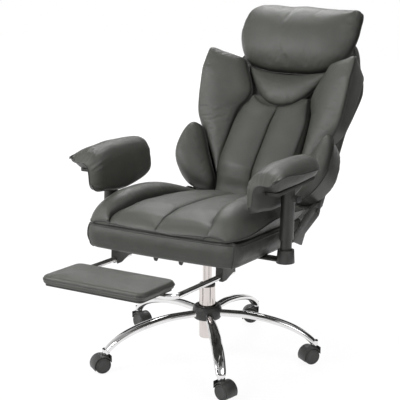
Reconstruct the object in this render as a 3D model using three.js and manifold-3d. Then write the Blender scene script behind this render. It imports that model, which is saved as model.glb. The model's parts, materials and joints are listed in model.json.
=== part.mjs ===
// A reclining office chair with a pull-out footrest, in millimetres, +Z up, facing -Y.
// +X is the sitter's left. The origin is on the floor under the middle of the chair's box.
import * as THREE from "three";
import { mergeVertices } from "three/addons/utils/BufferGeometryUtils.js";
import Module from "manifold-3d";

const wasm = await Module();
wasm.setup();
const toRadians = THREE.MathUtils.degToRad;

// Clearances shared by all pieces
const touchGap = 0.3; // between pieces that rest on each other
const slideGap = 0.4; // between pieces that slide or turn
const overrun = 6; // how far a cutting tool runs past the face that it cuts

// Driving dimensions: the postures of the photographed chair, in degrees
const seatTilt = 3.4; // front of the seat up
const backRecline = 37; // back from the vertical
const underseatHeight = 370; // floor to the seat base's underside, over the column

const base = {
  legs: 5,
  stemCircle: 333, // radius of the circle of caster stems
  hubRadius: 29,
  hubBottom: 123,
  hubHeight: 32,
  rootHeight: 138, // a leg's centre line at the hub
  endHeight: 64, // a leg's centre line over its caster
  legWidth: 36,
  legDepth: 21,
  socketRadius: 11,
  socketBottom: 55.2,
  socketTop: 74,
  legSides: 10,
};
// A leg's centre line and section, from the hub out, as shares of its reach, drop, width and depth
const legReachShares = [0.06, 0.31, 0.49, 0.65, 0.785, 0.89, 0.962, 0.992];
const legDropShares = [0, 0, 0.07, 0.21, 0.4, 0.63, 0.86, 1];
const legWidthShares = [0.74, 0.8, 0.92, 1, 1, 0.96, 0.88, 0.8];
const legDepthShares = [1, 1, 0.98, 0.96, 0.92, 0.86, 0.84, 0.86];

const cover = {
  radius: 45,
  bottom: 120,
  height: 42,
  edge: 19, // how round the doughnut is
  slotGap: 1.2,
  sides: 24,
};

const column = {
  tubeRadius: 25,
  tubeFoot: 59, // the tube's lower end, below the hub
  tubeTop: 225,
  wall: 3.5,
  bushHeight: 7,
  bushDepth: 22,
  rodRadius: 14,
  rodBottom: 147,
  rodTop: 343,
  taper: 1.2,
  footClosing: 5,
  sides: 24,
};

const caster = {
  wheelRadius: 25,
  wheelWidth: 17,
  dish: 1.6,
  hubShare: 0.62,
  treadRound: 1.6,
  axleRadius: 3,
  trail: 16, // stem to axle
  web: 7, // the hood's wall between the wheels
  hoodGap: 1.6,
  hoodWall: 2.6,
  bossRadius: 10.5,
  bossTop: 54.6,
  axleBoss: 7.5,
  stemRadius: 5.5,
  stemRise: 16,
  sides: 20,
  hoodSides: 28,
};
// Angles of the hood's band about the axle, in degrees, from the trailing side over the top
const hoodFrom = -24;
const hoodTo = 150;
// Where each caster has swivelled to, in degrees from +X
const casterHeadings = [-15, 235, 205, -20, 235];

const mechanism = {
  halfWidth: 58,
  front: -75,
  back: 60,
  frontTop: -6,
  backTop: -30,
  bottom: -38,
  wall: 3,
  socketRadius: 22,
  socketDrop: 15, // below the box
  pivotBehind: -60,
  pivotBelow: -18,
  pinRadius: 5,
  pinSpare: 3,
};

const plate = {
  halfWidth: 95,
  front: -125,
  back: 112,
  thickness: 4,
  flangeHalf: 22,
  flangeRound: 12,
};

const knob = {
  radius: 14,
  length: 30,
  below: -20,
  stemRadius: 6,
  grips: 8,
  gripDepth: 1.6,
};

const heightLever = {
  behind: -34,
  below: -21,
  radius: 4,
  reach: 273,
  paddleLength: 46,
  paddleWidth: 24,
  paddleThick: 7,
};

const seatBase = {
  halfWidth: 230, // between the hinge plates
  frontHalfWidth: 250,
  wideTo: 16, // the wide front starts to narrow here
  narrowFrom: 60,
  front: -292,
  back: 190,
  frontHeight: 76,
  height: 69,
  corner: 34,
  lipDepth: 14,
  rimRound: 7,
};

const cushion = {
  front: -296,
  back: 238,
  halfWidth: 255,
};
// Stations of the seat cushion from front to back, as shares of its length
const cushionStationShares = [
  0, 0.008, 0.025, 0.04, 0.08, 0.14, 0.23, 0.34, 0.45, 0.57, 0.69, 0.79, 0.865, 0.9, 0.915, 0.96, 1];
// At each station: half width, height of the seams, crown of the panels, rise of the side rolls,
// height of the piping and place of the outer seams
const cushionWidthShares = [
  0.9, 0.92, 0.935, 0.945, 0.965, 0.985, 1, 1, 1, 1, 0.99, 0.975, 0.94, 0.8, 0.56, 0.5, 0.47];
const cushionHeight = 167; // top of the side rolls above the seat's underside
const seamHeightShares = [
  0.48, 0.51, 0.555, 0.585, 0.645, 0.69, 0.73, 0.74, 0.74, 0.73, 0.7, 0.67, 0.64, 0.62, 0.61, 0.55, 0.46];
const panelCrownShares = [
  0, 0.02, 0.04, 0.055, 0.075, 0.09, 0.1, 0.105, 0.1, 0.1, 0.1, 0.09, 0.08, 0.07, 0.06, 0.04, 0];
const rollCrownShares = [
  0, 0.07, 0.125, 0.155, 0.205, 0.245, 0.27, 0.275, 0.26, 0.22, 0.16, 0.1, 0.05, 0.03, 0.02, 0.01, 0];
const pipingHeightShares = [
  0.47, 0.475, 0.48, 0.485, 0.495, 0.51, 0.55, 0.6, 0.64, 0.65, 0.63, 0.6, 0.57, 0.55, 0.54, 0.5, 0.45];
const outerSeamShares = [
  0.72, 0.71, 0.7, 0.69, 0.64, 0.58, 0.55, 0.53, 0.51, 0.49, 0.47, 0.46, 0.45, 0.44, 0.43, 0.42, 0.4];

const arm = {
  apart: 300, // from the middle to each post
  behind: -80,
  barWidth: 44,
  barThick: 6,
  barStart: 112,
  collarBottom: -10,
  collarTop: 28,
  collarWide: 23,
  collarLong: 28,
  collarFlare: 3,
  postWide: 15,
  postLong: 22,
  postTop: 168,
  sleeveWide: 19,
  sleeveLong: 26,
  sleeveBottom: 58,
  sleeveTop: 214,
  sleeveRoof: 12,
  boardThick: 5.6,
  boardOut: 30,
  boardIn: 18,
  boardFront: -128,
  boardBack: 122,
  boardRound: 14,
  sides: 20,
};

const button = {
  height: 178,
  bossRadius: 10,
  bossRise: 8,
  radius: 6.5,
  travel: 3.5,
  capHalf: 13,
  capTall: 9,
  capThick: 5,
};

// The arm pad's section, over the sleeve top: crown, outer lip and inner drop
const armPad = {
  outer: 40,
  inner: -62,
  flapOuter: -21.5,
  crown: 75,
  underside: 6,
  lipRise: 15, // of the outer lip's front
  lipFrom: 0.62, // the lip turns up from here out
  flapBottom: -72,
  front: -166,
  back: 156,
};
// Stations of the arm pad from front to back as shares of its length, with the shares of its
// height and width there, and how far the inner drop has come down
const padStationShares = [
  0, 0.015, 0.045, 0.09, 0.15, 0.22, 0.3, 0.4, 0.52, 0.64, 0.76, 0.86, 0.93, 0.975, 1];
const padHeightShares = [0.5, 0.66, 0.8, 0.9, 0.96, 0.99, 1, 1, 0.99, 0.97, 0.94, 0.89, 0.82, 0.68, 0.5];
const padWidthShares = [0.8, 0.88, 0.95, 0.985, 1, 1, 1, 1, 1, 1, 0.99, 0.96, 0.9, 0.78, 0.6];
// How far its outer lip turns up (or down) there
const padLipShares = [1, 0.98, 0.94, 0.86, 0.74, 0.58, 0.4, 0.2, 0, -0.1, -0.2, -0.3, -0.3, -0.3, -0.3];
const padDropShares = [0.46, 0.62, 0.7, 0.75, 0.8, 0.86, 0.92, 0.97, 1, 0.98, 0.92, 0.82, 0.7, 0.52, 0.3];

const hinge = {
  behind: 281, // the recline axis, in the seat's frame
  above: 74,
  plateThick: 6,
  plateBoss: 24,
  pinRadius: 8,
  pinSpare: 3,
  armThick: 6,
  armWidth: 34,
  armTop: 122,
  armBehind: 28, // the arm's middle behind the axis
};

const reclineLever = {
  behind: 186,
  above: 18,
  length: 118,
  height: 15,
  thickness: 7,
  gripLength: 52,
  gripHeight: 20,
  gripThick: 13,
  hubRadius: 12,
  pinRadius: 5,
};

// The back, from its hinge axis: up the back, across it and behind it
const shell = {
  bottom: -46,
  top: 652,
  halfWidth: 260,
  thickness: 44,
  front: 10, // the board's front face lies this far behind the axis
  bend: 470, // above this height the board leans away
  leanShare: 0.21,
  cornerSteps: 3,
};
// The board's outline from foot to top: stations, how far it flares from its foot's width to its
// full width, and how far its ends close in width and thickness
const shellStationShares = [0, 0.035, 0.11, 0.25, 0.29, 0.47, 0.58, 0.69, 0.739, 0.82, 0.9, 0.96, 0.99, 1];
const shellFlareShares = [0, 0, 0, 0, 0.45, 0.45, 0.75, 1, 0.85, 0.1, -0.5, -1, -1.4, -1.7];
const shellCloseShares = [0.4, 0.8, 1, 1, 1, 1, 1, 1, 1, 1, 1, 0.95, 0.75, 0.45];
const shellWidthCloseShare = 0.3; // how much of that closing its width takes
const shellRoundShare = 0.8; // how round its edges are

// The two channels down the middle of the back, over a roll about the recline axis
const channels = {
  rollRadius: 38,
  halfWidth: 134,
  bottom: -34,
  topMiddle: 343,
  topSide: 426,
  depth: 89,
  crown: 17,
};
const channelStationShares = [0, 0.03, 0.08, 0.15, 0.225, 0.33, 0.47, 0.64, 0.8, 0.91, 0.97, 1];
const channelDepthShares = [0.26, 0.45, 0.54, 0.65, 0.84, 1, 0.95, 0.87, 0.78, 0.6, 0.46, 0.26];
const channelWidthShares = [0.9, 0.93, 0.95, 0.97, 0.99, 1, 1, 1, 0.93, 0.84, 0.8, 0.76];
const channelTopPower = 2.5; // how late its top edge rises towards its sides
const channelCrownShares = [0, 0.2, 0.4, 0.7, 0.9, 1, 1, 1, 1, 0.8, 0.4, 0];

const soft = {
  rim: 10, // height of a pillow's seam over the plane that it is crowned from
};
// Rings of a pillow from its seam to its middle, as shares, on the front and on the rear
const frontRingShares = [0.955, 0.84, 0.62, 0.34];
const rearRingShares = [0.94, 0.5];

const wing = { lowest: 72, highest: 499, outer: 268, inner: 112, plane: 22, flare: 94, crown: 26 };
const wingOutlineShares = [
  [0.3, 0.99], [0.5, 1.0], [0.74, 1.0], [0.96, 1.0], [1.0, 0.93], [1.0, 0.76], [0.975, 0.6],
  [0.93, 0.48], [0.82, 0.39], [0.62, 0.27], [0.4, 0.14], [0.24, 0.035], [0.175, 0.0], [0.165, 0.1],
  [0.17, 0.28], [0.165, 0.42], [0.13, 0.57], [0.04, 0.65], [0.0, 0.73], [0.045, 0.8], [0.21, 0.93],
];
const wingMiddleShares = [0.5, 0.64];
const wingFlareShare = 0.8; // the height by which a wing has flared in full

const bolster = { lowest: 8, highest: 224, outer: 272, inner: 137, plane: 24, flare: 72, crown: 46 };
const bolsterOutlineShares = [
  [0.0, 0.12], [0.03, 0.03], [0.2, 0.0], [0.46, 0.01], [0.65, 0.08], [0.8, 0.18], [0.92, 0.3],
  [0.99, 0.44], [1.0, 0.58], [0.985, 0.74], [0.95, 0.88], [0.885, 0.97], [0.81, 0.95], [0.71, 0.86],
  [0.56, 0.72], [0.4, 0.57], [0.24, 0.43], [0.1, 0.3], [0.02, 0.2],
];
const bolsterMiddleShares = [0.55, 0.42];

const neck = { halfWidth: 151, lowest: 349, highest: 498, plane: 6, crown: 20, middle: 0.42 };
const neckOutlineShares = [
  [1.0, 0.92], [0.985, 0.99], [0.9, 0.93], [0.72, 0.87], [0.4, 0.81], [0, 0.79], [-0.4, 0.81], [-0.72, 0.87],
  [-0.9, 0.93], [-0.985, 0.99], [-1.0, 0.92], [-0.88, 0.7], [-0.72, 0.47], [-0.56, 0.26], [-0.35, 0.09],
  [-0.12, 0.01], [0.12, 0.01], [0.35, 0.09], [0.56, 0.26], [0.72, 0.47], [0.88, 0.7],
];

const headrest = { halfWidth: 218, lowest: 474, highest: 728, plane: 5, crown: 72, middle: 0.5 };
const headOutlineShares = [
  [0.34, 0.01], [0.6, 0.06], [0.76, 0.14], [0.87, 0.27], [0.95, 0.44], [0.98, 0.6], [0.985, 0.74],
  [0.965, 0.86], [0.9, 0.95], [0.78, 0.99], [0.4, 1.0], [0, 1.0], [-0.4, 1.0], [-0.78, 0.99],
  [-0.9, 0.95], [-0.965, 0.86], [-0.985, 0.74], [-0.98, 0.6], [-0.95, 0.44], [-0.87, 0.27],
  [-0.76, 0.14], [-0.6, 0.06], [-0.34, 0.01], [0, 0.0],
];

const footrest = {
  rodApart: 175,
  rodRadius: 8,
  below: -38, // the rods' axis under the seat's underside
  rodBack: -160,
  crossFront: -495,
  bend: 30,
  bendSteps: 4,
  sides: 12,
  halfWidth: 160,
  padFront: -622,
  padBack: -446,
  padTop: 3,
  padCrown: 4,
  padEdge: 12,
  boardThick: 4.4,
  boardInset: 8,
  clampApart: 92,
  clampLength: 24,
  clampWall: 3.4,
};

const guide = {
  front: -244,
  back: -168,
  wall: 3.4,
  flangeOut: 25,
  flangeThick: 3,
  slot: 8,
  lowTo: -222, // its underside rises from here to its rear
  rearDrop: 30,
};

const footCatch = {
  apart: 42,
  behind: -226,
  width: 7,
  length: 26,
  drop: 27,
};

// Materials, one for each finish
const finish = {
  leather: { color: 0x35342f, roughness: 0.5, metalness: 0 },
  chrome: { color: 0xd8d8da, roughness: 0.1, metalness: 1 },
  nylon: { color: 0x2e2e2c, roughness: 0.55, metalness: 0 },
  steel: { color: 0x242423, roughness: 0.45, metalness: 0.4 },
};

// Solids

// A closed surface from vertices and triangles, with its faces turned out.
function closedSurface(vertices, triangles) {
  const corner = (i) => vertices[i];
  let volume = 0;
  for (const [a, b, c] of triangles) {
    volume += corner(a).dot(corner(b).clone().cross(corner(c)));
  }
  const facing = volume < 0 ? triangles.map(([a, b, c]) => [a, c, b]) : triangles;
  const geometry = new THREE.BufferGeometry().setFromPoints(vertices);
  geometry.setIndex(facing.flat());
  return geometry;
}

const middleOf = (ring) =>
  ring.reduce((sum, point) => sum.add(point), new THREE.Vector3()).divideScalar(ring.length);

// Joins rings of points into a closed skin, with a fan about a point in each end ring.
function loft(rings, first = middleOf(rings[0]), final = middleOf(rings[rings.length - 1])) {
  const size = rings[0].length;
  const vertices = rings.flat();
  const last = vertices.length - size;
  const triangles = [];
  for (let a = 0; a < last; a++) {
    const b = a % size === size - 1 ? a + 1 - size : a + 1;
    triangles.push([a, b, a + size], [b, b + size, a + size]);
  }
  const startPole = vertices.push(first) - 1;
  const endPole = vertices.push(final) - 1;
  for (let i = 0; i < size; i++) {
    const next = (i + 1) % size;
    triangles.push([next, i, startPole], [last + i, last + next, endPole]);
  }
  return closedSurface(vertices, triangles);
}

function solidOf(geometry) {
  const plain = geometry.clone();
  plain.deleteAttribute("normal");
  plain.deleteAttribute("uv");
  const merged = mergeVertices(plain);
  return new wasm.Manifold(
    new wasm.Mesh({
      numProp: 3,
      vertProperties: merged.attributes.position.array,
      triVerts: new Uint32Array(merged.index.array),
    }),
  );
}

function geometryOf(solid) {
  const mesh = solid.getMesh();
  const geometry = new THREE.BufferGeometry();
  geometry.setAttribute("position", new THREE.BufferAttribute(mesh.vertProperties, mesh.numProp));
  geometry.setIndex(new THREE.BufferAttribute(mesh.triVerts, 1));
  return geometry;
}

function join(...geometries) {
  return geometryOf(geometries.map(solidOf).reduce((whole, next) => whole.add(next)));
}

function cut(geometry, ...tools) {
  return geometryOf(tools.map(solidOf).reduce((rest, tool) => rest.subtract(tool), solidOf(geometry)));
}

// A block between two corners.
function block([x0, y0, z0], [x1, y1, z1]) {
  return new THREE.BoxGeometry(x1 - x0, y1 - y0, z1 - z0)
    .translate((x0 + x1) / 2, (y0 + y1) / 2, (z0 + z1) / 2);
}

// A round bar from one height to another, about the Z axis.
function barZ(radius, bottom, top, sides, topRadius = radius) {
  return new THREE.CylinderGeometry(topRadius, radius, top - bottom, sides)
    .rotateX(Math.PI / 2)
    .translate(0, 0, (bottom + top) / 2);
}

// A round bar along X from x0 to x1, at y and z.
function barX(radius, x0, x1, y, z, sides) {
  return new THREE.CylinderGeometry(radius, radius, x1 - x0, sides)
    .rotateZ(Math.PI / 2)
    .translate((x0 + x1) / 2, y, z);
}

// A round bar along Y from y0 to y1, at x and z.
function barY(radius, y0, y1, x, z, sides) {
  return new THREE.CylinderGeometry(radius, radius, y1 - y0, sides).translate(x, (y0 + y1) / 2, z);
}

// A shape drawn in Y and Z, extruded along X from x0 to x1.
function slabX(shape, x0, x1, curveSegments = 8) {
  const turn = new THREE.Matrix4().makeBasis(
    new THREE.Vector3(0, 1, 0), new THREE.Vector3(0, 0, 1), new THREE.Vector3(1, 0, 0));
  return new THREE.ExtrudeGeometry(shape, { depth: x1 - x0, bevelEnabled: false, curveSegments })
    .applyMatrix4(turn)
    .translate(x0, 0, 0);
}

// A shape drawn in X and Z, extruded along Y from y0 to y1.
function slabY(shape, y0, y1, curveSegments = 8) {
  return new THREE.ExtrudeGeometry(shape, { depth: y1 - y0, bevelEnabled: false, curveSegments })
    .rotateX(Math.PI / 2)
    .translate(0, y1, 0);
}

// A shape drawn in X and Y, extruded along Z from z0 to z1.
function slabZ(shape, z0, z1, curveSegments = 8) {
  return new THREE.ExtrudeGeometry(shape, { depth: z1 - z0, bevelEnabled: false, curveSegments })
    .translate(0, 0, z0);
}

function outlineOf(points) {
  return new THREE.Shape(points.map(([x, y]) => new THREE.Vector2(x, y)));
}

// A rectangle with round corners, centred on a point.
function roundedRectangle(x, y, halfX, halfY, corner) {
  const shape = new THREE.Shape();
  const corners = [[1, 1, 0], [-1, 1, 90], [-1, -1, 180], [1, -1, 270]];
  for (const [sideX, sideY, from] of corners) {
    shape.absarc(x + sideX * (halfX - corner), y + sideY * (halfY - corner), corner,
      toRadians(from), toRadians(from + 90), false);
  }
  shape.closePath();
  return shape;
}

// An upright with an oval section that may flare towards its foot.
function ovalBar(halfX, halfY, bottom, top, flare = 0) {
  const ring = (z, grow) =>
    Array.from({ length: arm.sides }, (_, i) => {
      const angle = (i / arm.sides) * Math.PI * 2;
      return new THREE.Vector3((halfX + grow) * Math.cos(angle), (halfY + grow) * Math.sin(angle), z);
    });
  return loft([ring(bottom, flare), ring(top, 0)]);
}

// A round tube through points that lie in one level plane, with each ring square to the mean of
// its two runs.
function tubeThrough(points, radius, sides) {
  const up = new THREE.Vector3(0, 0, 1);
  const rings = points.map((point, i) => {
    const before = points[Math.max(i - 1, 0)];
    const after = points[Math.min(i + 1, points.length - 1)];
    const across = after.clone().sub(before).normalize().cross(up);
    return Array.from({ length: sides }, (_, k) => {
      const angle = ((k + 0.5) / sides) * Math.PI * 2;
      return point.clone()
        .addScaledVector(across, Math.cos(angle) * radius)
        .addScaledVector(up, Math.sin(angle) * radius);
    });
  });
  return loft(rings);
}

// A padded piece in the back's frame: an outline across and up the back, seamed all round, crowned
// to the front by front(share, x, z) and to the rear by rear(share, x, z) over the plane rest(x, z).
function pillow(outline, middle, rest, front, rear) {
  const place = (share, x, z, depth) => new THREE.Vector3(x, rest(x, z) + depth(share, x, z), z);
  const ringAt = (share, depth) =>
    outline.map(([x, z]) => {
      const px = middle[0] + (x - middle[0]) * share;
      const pz = middle[1] + (z - middle[1]) * share;
      return place(share, px, pz, depth);
    });
  const frontDepth = (share, x, z) => -front(share, x, z);
  const rings = [
    ...rearRingShares.map((share) => ringAt(share, rear)).reverse(),
    ringAt(1, () => -soft.rim),
    ...frontRingShares.map((share) => ringAt(share, frontDepth)),
  ];
  return loft(rings, place(0, ...middle, rear), place(0, ...middle, frontDepth));
}

// How full a pillow is at a share of the way from its middle to its seam.
const dome = (share) => Math.sqrt(1 - share ** 3);

const between = (low, high, share) => low + (high - low) * share;

// Meshes

const looks = Object.fromEntries(
  Object.entries(finish).map(([name, values]) => [name, () => new THREE.MeshStandardMaterial(values)]));

function piece(parent, name, geometry, look) {
  const mesh = new THREE.Mesh(geometry, looks[look]());
  mesh.name = name;
  parent.add(mesh);
  return mesh;
}

// Mirrors a geometry across the chair's middle.
function mirrored(geometry) {
  const index = geometry.index ? geometry : mergeVertices(geometry);
  const other = index.clone().scale(-1, 1, 1);
  const order = other.index.array;
  for (let i = 0; i < order.length; i += 3) {
    [order[i + 1], order[i + 2]] = [order[i + 2], order[i + 1]];
  }
  return other;
}

// A piece and its mirror image, on the sitter's left and right.
function pair(parent, name, geometry, look) {
  piece(parent, name + "_left", geometry, look);
  piece(parent, name + "_right", mirrored(geometry), look);
}

const chair = new THREE.Group();

// Base

// One leg, along +X from the hub.
function legGeometry() {
  const drop = base.rootHeight - base.endHeight;
  const spine = legReachShares.map(
    (share, i) => new THREE.Vector2(share * base.stemCircle, base.rootHeight - legDropShares[i] * drop));
  const rings = spine.map((point, i) => {
    const before = spine[Math.max(i - 1, 0)];
    const after = spine[Math.min(i + 1, spine.length - 1)];
    const along = after.clone().sub(before).normalize();
    const halfWidth = (legWidthShares[i] * base.legWidth) / 2;
    const halfDepth = (legDepthShares[i] * base.legDepth) / 2;
    return Array.from({ length: base.legSides }, (_, k) => {
      const angle = (k / base.legSides) * Math.PI * 2;
      const over = Math.sin(angle) * halfDepth;
      return new THREE.Vector3(
        point.x - along.y * over, Math.cos(angle) * halfWidth, point.y + along.x * over);
    });
  });
  const socket = barZ(base.socketRadius, base.socketBottom, base.socketTop, base.legSides)
    .translate(base.stemCircle, 0, 0);
  const stemBore = barZ(
    caster.stemRadius + touchGap, base.socketBottom - overrun,
    caster.bossTop + caster.stemRise + touchGap, base.legSides).translate(base.stemCircle, 0, 0);
  const hubSeat = barZ(
    base.hubRadius + touchGap, base.hubBottom - base.legDepth,
    base.hubBottom + base.hubHeight + base.legDepth, column.sides);
  const foot = block(
    [base.stemCircle - base.legWidth, -base.legWidth, 0],
    [base.stemCircle + base.legWidth, base.legWidth, base.socketBottom]);
  return cut(join(loft(rings), socket), stemBore, hubSeat, foot);
}

// The first leg stands half a space to the left of straight ahead.
const legAngle = (leg) => Math.PI * ((2 * leg + 1) / base.legs - 1 / 2);

const hubTop = base.hubBottom + base.hubHeight;
const hubSleeve = cut(
  barZ(base.hubRadius, base.hubBottom, hubTop, column.sides),
  barZ(column.tubeRadius + touchGap, base.hubBottom - overrun, hubTop + overrun, column.sides));
piece(chair, "base_hub", hubSleeve, "steel");
for (let leg = 0; leg < base.legs; leg++) {
  piece(chair, `base_leg_${leg + 1}`, legGeometry().rotateZ(legAngle(leg)), "chrome");
}

// The doughnut over the hub, slotted from below for the legs.
function coverGeometry() {
  const inner = base.hubRadius + touchGap;
  const neckRadius = column.tubeRadius + slideGap;
  const top = cover.bottom + cover.height;
  const side = cover.radius;
  const roof = hubTop + touchGap;
  const profile = new THREE.Path();
  profile.moveTo(inner, cover.bottom);
  profile.lineTo(side - cover.edge / 2, cover.bottom);
  profile.quadraticCurveTo(side, cover.bottom, side, cover.bottom + cover.edge);
  profile.lineTo(side, top - cover.edge);
  profile.quadraticCurveTo(side, top, side - cover.edge / 2, top);
  profile.lineTo(neckRadius, top);
  profile.lineTo(neckRadius, roof);
  profile.lineTo(inner, roof);
  profile.lineTo(inner, cover.bottom);
  const turned = new THREE.LatheGeometry(profile.getPoints(4), cover.sides).rotateX(Math.PI / 2);
  const halfSlot = (legWidthShares[1] * base.legWidth) / 2 + cover.slotGap;
  const slotTop = base.rootHeight + base.legDepth / 2 + cover.slotGap;
  const slots = Array.from({ length: base.legs }, (_, leg) =>
    block([base.hubRadius - overrun, -halfSlot, cover.bottom - overrun], [side + overrun, halfSlot, slotTop])
      .rotateZ(legAngle(leg)));
  return cut(turned, ...slots);
}
piece(chair, "hub_cover", coverGeometry(), "nylon");

// Column and gas lift

function columnGeometry() {
  const outer = column.tubeRadius;
  const inner = outer - column.wall;
  const profile = [
    [inner - column.footClosing, column.tubeFoot],
    [outer - column.taper, column.tubeFoot],
    [outer, cover.bottom],
    [outer, column.tubeTop],
    [inner, column.tubeTop],
    [inner, column.tubeFoot + column.wall],
    [inner - column.footClosing, column.tubeFoot + column.wall],
    [inner - column.footClosing, column.tubeFoot],
  ];
  return new THREE.LatheGeometry(profile.map(([r, z]) => new THREE.Vector2(r, z)), column.sides)
    .rotateX(Math.PI / 2);
}
piece(chair, "column_tube", columnGeometry(), "chrome");

function bushGeometry() {
  const bore = column.rodRadius + slideGap;
  const plug = column.tubeRadius - column.wall - touchGap;
  const seat = column.tubeTop + touchGap;
  const profile = [
    [bore, column.tubeTop - column.bushDepth],
    [plug, column.tubeTop - column.bushDepth],
    [plug, seat],
    [column.tubeRadius, seat],
    [column.tubeRadius, seat + column.bushHeight / 2],
    [column.tubeRadius - column.taper, seat + column.bushHeight],
    [bore, seat + column.bushHeight],
    [bore, column.tubeTop - column.bushDepth],
  ];
  return new THREE.LatheGeometry(profile.map(([r, z]) => new THREE.Vector2(r, z)), column.sides)
    .rotateX(Math.PI / 2);
}
piece(chair, "column_bush", bushGeometry(), "nylon");
piece(chair, "gas_cylinder",
  barZ(column.rodRadius, column.rodBottom, column.rodTop, column.sides), "chrome");

// Casters, each in its own frame: +X from the stem to the axle

const hoodInner = caster.wheelRadius + caster.hoodGap;
const hoodOuter = hoodInner + caster.hoodWall;
const halfTrack = caster.web / 2 + touchGap + caster.wheelWidth;

function hoodGeometry() {
  const shape = new THREE.Shape();
  shape.absarc(caster.trail, caster.wheelRadius, hoodOuter, toRadians(hoodFrom), toRadians(hoodTo), false);
  shape.lineTo(-caster.bossRadius, caster.bossTop - caster.hoodGap);
  shape.lineTo(-caster.bossRadius, caster.wheelRadius + caster.axleBoss);
  shape.lineTo(caster.trail, caster.wheelRadius - caster.axleBoss);
  shape.closePath();
  const blank = slabY(shape, -halfTrack, halfTrack, caster.hoodSides / 2);
  const axleBoss = barY(
    caster.axleBoss, -caster.web / 2, caster.web / 2, caster.trail, caster.wheelRadius, caster.sides);
  const boss = barZ(caster.bossRadius, caster.wheelRadius, caster.bossTop, caster.sides);
  const stem = barZ(
    caster.stemRadius, caster.wheelRadius, caster.bossTop + caster.stemRise, base.legSides);
  const pocket = (side) =>
    barY(hoodInner, 0, halfTrack + overrun, 0, 0, caster.hoodSides)
      .translate(0, caster.web / 2, 0)
      .rotateZ(side < 0 ? Math.PI : 0)
      .translate(caster.trail, 0, caster.wheelRadius);
  const bore = barY(
    caster.axleRadius + slideGap, -caster.web, caster.web, caster.trail, caster.wheelRadius, caster.sides);
  return cut(join(blank, boss, stem, axleBoss), pocket(1), pocket(-1), bore);
}

// Both wheels and their axle in one turned piece, with a flat of its tread down.
function wheelsGeometry() {
  const tread = caster.wheelRadius / Math.cos(Math.PI / caster.sides);
  const inner = caster.web / 2 + touchGap;
  const outer = inner + caster.wheelWidth;
  const hub = tread * caster.hubShare;
  const half = [
    [0, outer - caster.dish],
    [hub, outer - caster.dish],
    [hub + caster.dish, outer],
    [tread - caster.treadRound, outer],
    [tread, outer - caster.treadRound],
    [tread, inner],
    [caster.axleRadius, inner],
  ];
  const points = [...half.map(([r, y]) => [r, -y]), ...half.reverse()];
  return new THREE.LatheGeometry(
    points.map(([r, y]) => new THREE.Vector2(r, y)), caster.sides, Math.PI / caster.sides);
}

for (let leg = 0; leg < base.legs; leg++) {
  const swivel = new THREE.Group();
  swivel.position.set(
    Math.cos(legAngle(leg)) * base.stemCircle, Math.sin(legAngle(leg)) * base.stemCircle, 0);
  swivel.rotation.z = toRadians(casterHeadings[leg]);
  chair.add(swivel);
  piece(swivel, `caster_hood_${leg + 1}`, hoodGeometry(), "nylon");
  const wheels = piece(swivel, `caster_wheels_${leg + 1}`, wheelsGeometry(), "nylon");
  wheels.position.set(caster.trail, 0, caster.wheelRadius);
}

// Everything above the column lies in the seat's frame: its origin is on the column's axis, in the
// plane of the seat's underside
const seat = new THREE.Group();
seat.position.z = underseatHeight;
seat.rotation.x = -toRadians(seatTilt);
chair.add(seat);

// Mechanism

// A bar on the column's axis, which leans in the seat's frame.
function columnBar(radius, bottom, top, sides) {
  return barZ(radius, bottom, top, sides).translate(0, 0, -underseatHeight).rotateX(toRadians(seatTilt));
}

function mechanismGeometry() {
  const side = outlineOf([
    [mechanism.front, mechanism.frontTop],
    [mechanism.front, mechanism.bottom],
    [mechanism.back, mechanism.bottom],
    [mechanism.back, mechanism.backTop],
    [mechanism.pivotBehind, mechanism.frontTop],
  ]);
  const box = slabX(side, -mechanism.halfWidth, mechanism.halfWidth);
  const socketBottom = underseatHeight + mechanism.bottom - mechanism.socketDrop;
  const socket = columnBar(
    mechanism.socketRadius, socketBottom, underseatHeight + mechanism.backTop + mechanism.wall, column.sides);
  const bore = columnBar(column.rodRadius + touchGap, 0, column.rodTop + touchGap, column.sides);
  const pin = barX(
    mechanism.pinRadius + slideGap, -mechanism.halfWidth - overrun, mechanism.halfWidth + overrun,
    mechanism.pivotBehind, mechanism.pivotBelow, column.sides);
  const knobBore = barY(
    knob.stemRadius + slideGap, mechanism.front - overrun, mechanism.front + knob.stemRadius, 0,
    knob.below, column.sides);
  const leverBore = barX(
    heightLever.radius + slideGap, -mechanism.halfWidth - overrun, -mechanism.halfWidth + knob.stemRadius,
    heightLever.behind, heightLever.below, base.legSides);
  return cut(join(box, socket), bore, pin, knobBore, leverBore);
}
piece(seat, "mechanism_box", mechanismGeometry(), "steel");

const flangeInner = mechanism.halfWidth + slideGap;
const pinEnd = flangeInner + plate.thickness + mechanism.pinSpare;
piece(seat, "rock_pin", barX(
  mechanism.pinRadius, -pinEnd, pinEnd, mechanism.pivotBehind, mechanism.pivotBelow, column.sides), "steel");

// The plate under the seat, with an ear each side that hangs on the pin.
function plateGeometry() {
  const sheet = block(
    [-plate.halfWidth, plate.front, -touchGap - plate.thickness], [plate.halfWidth, plate.back, -touchGap]);
  const ear = outlineOf([
    [mechanism.pivotBehind - plate.flangeHalf, -plate.thickness],
    [mechanism.pivotBehind - plate.flangeRound, mechanism.pivotBelow - plate.flangeRound],
    [mechanism.pivotBehind + plate.flangeRound, mechanism.pivotBelow - plate.flangeRound],
    [mechanism.pivotBehind + plate.flangeHalf, -plate.thickness],
  ]);
  const ears = [flangeInner, -flangeInner - plate.thickness].map(
    (x) => slabX(ear, x, x + plate.thickness));
  const bore = barX(
    mechanism.pinRadius + slideGap, -plate.halfWidth, plate.halfWidth, mechanism.pivotBehind,
    mechanism.pivotBelow, column.sides);
  return cut(join(sheet, ...ears), bore);
}
piece(seat, "seat_mount_plate", plateGeometry(), "steel");

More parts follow.
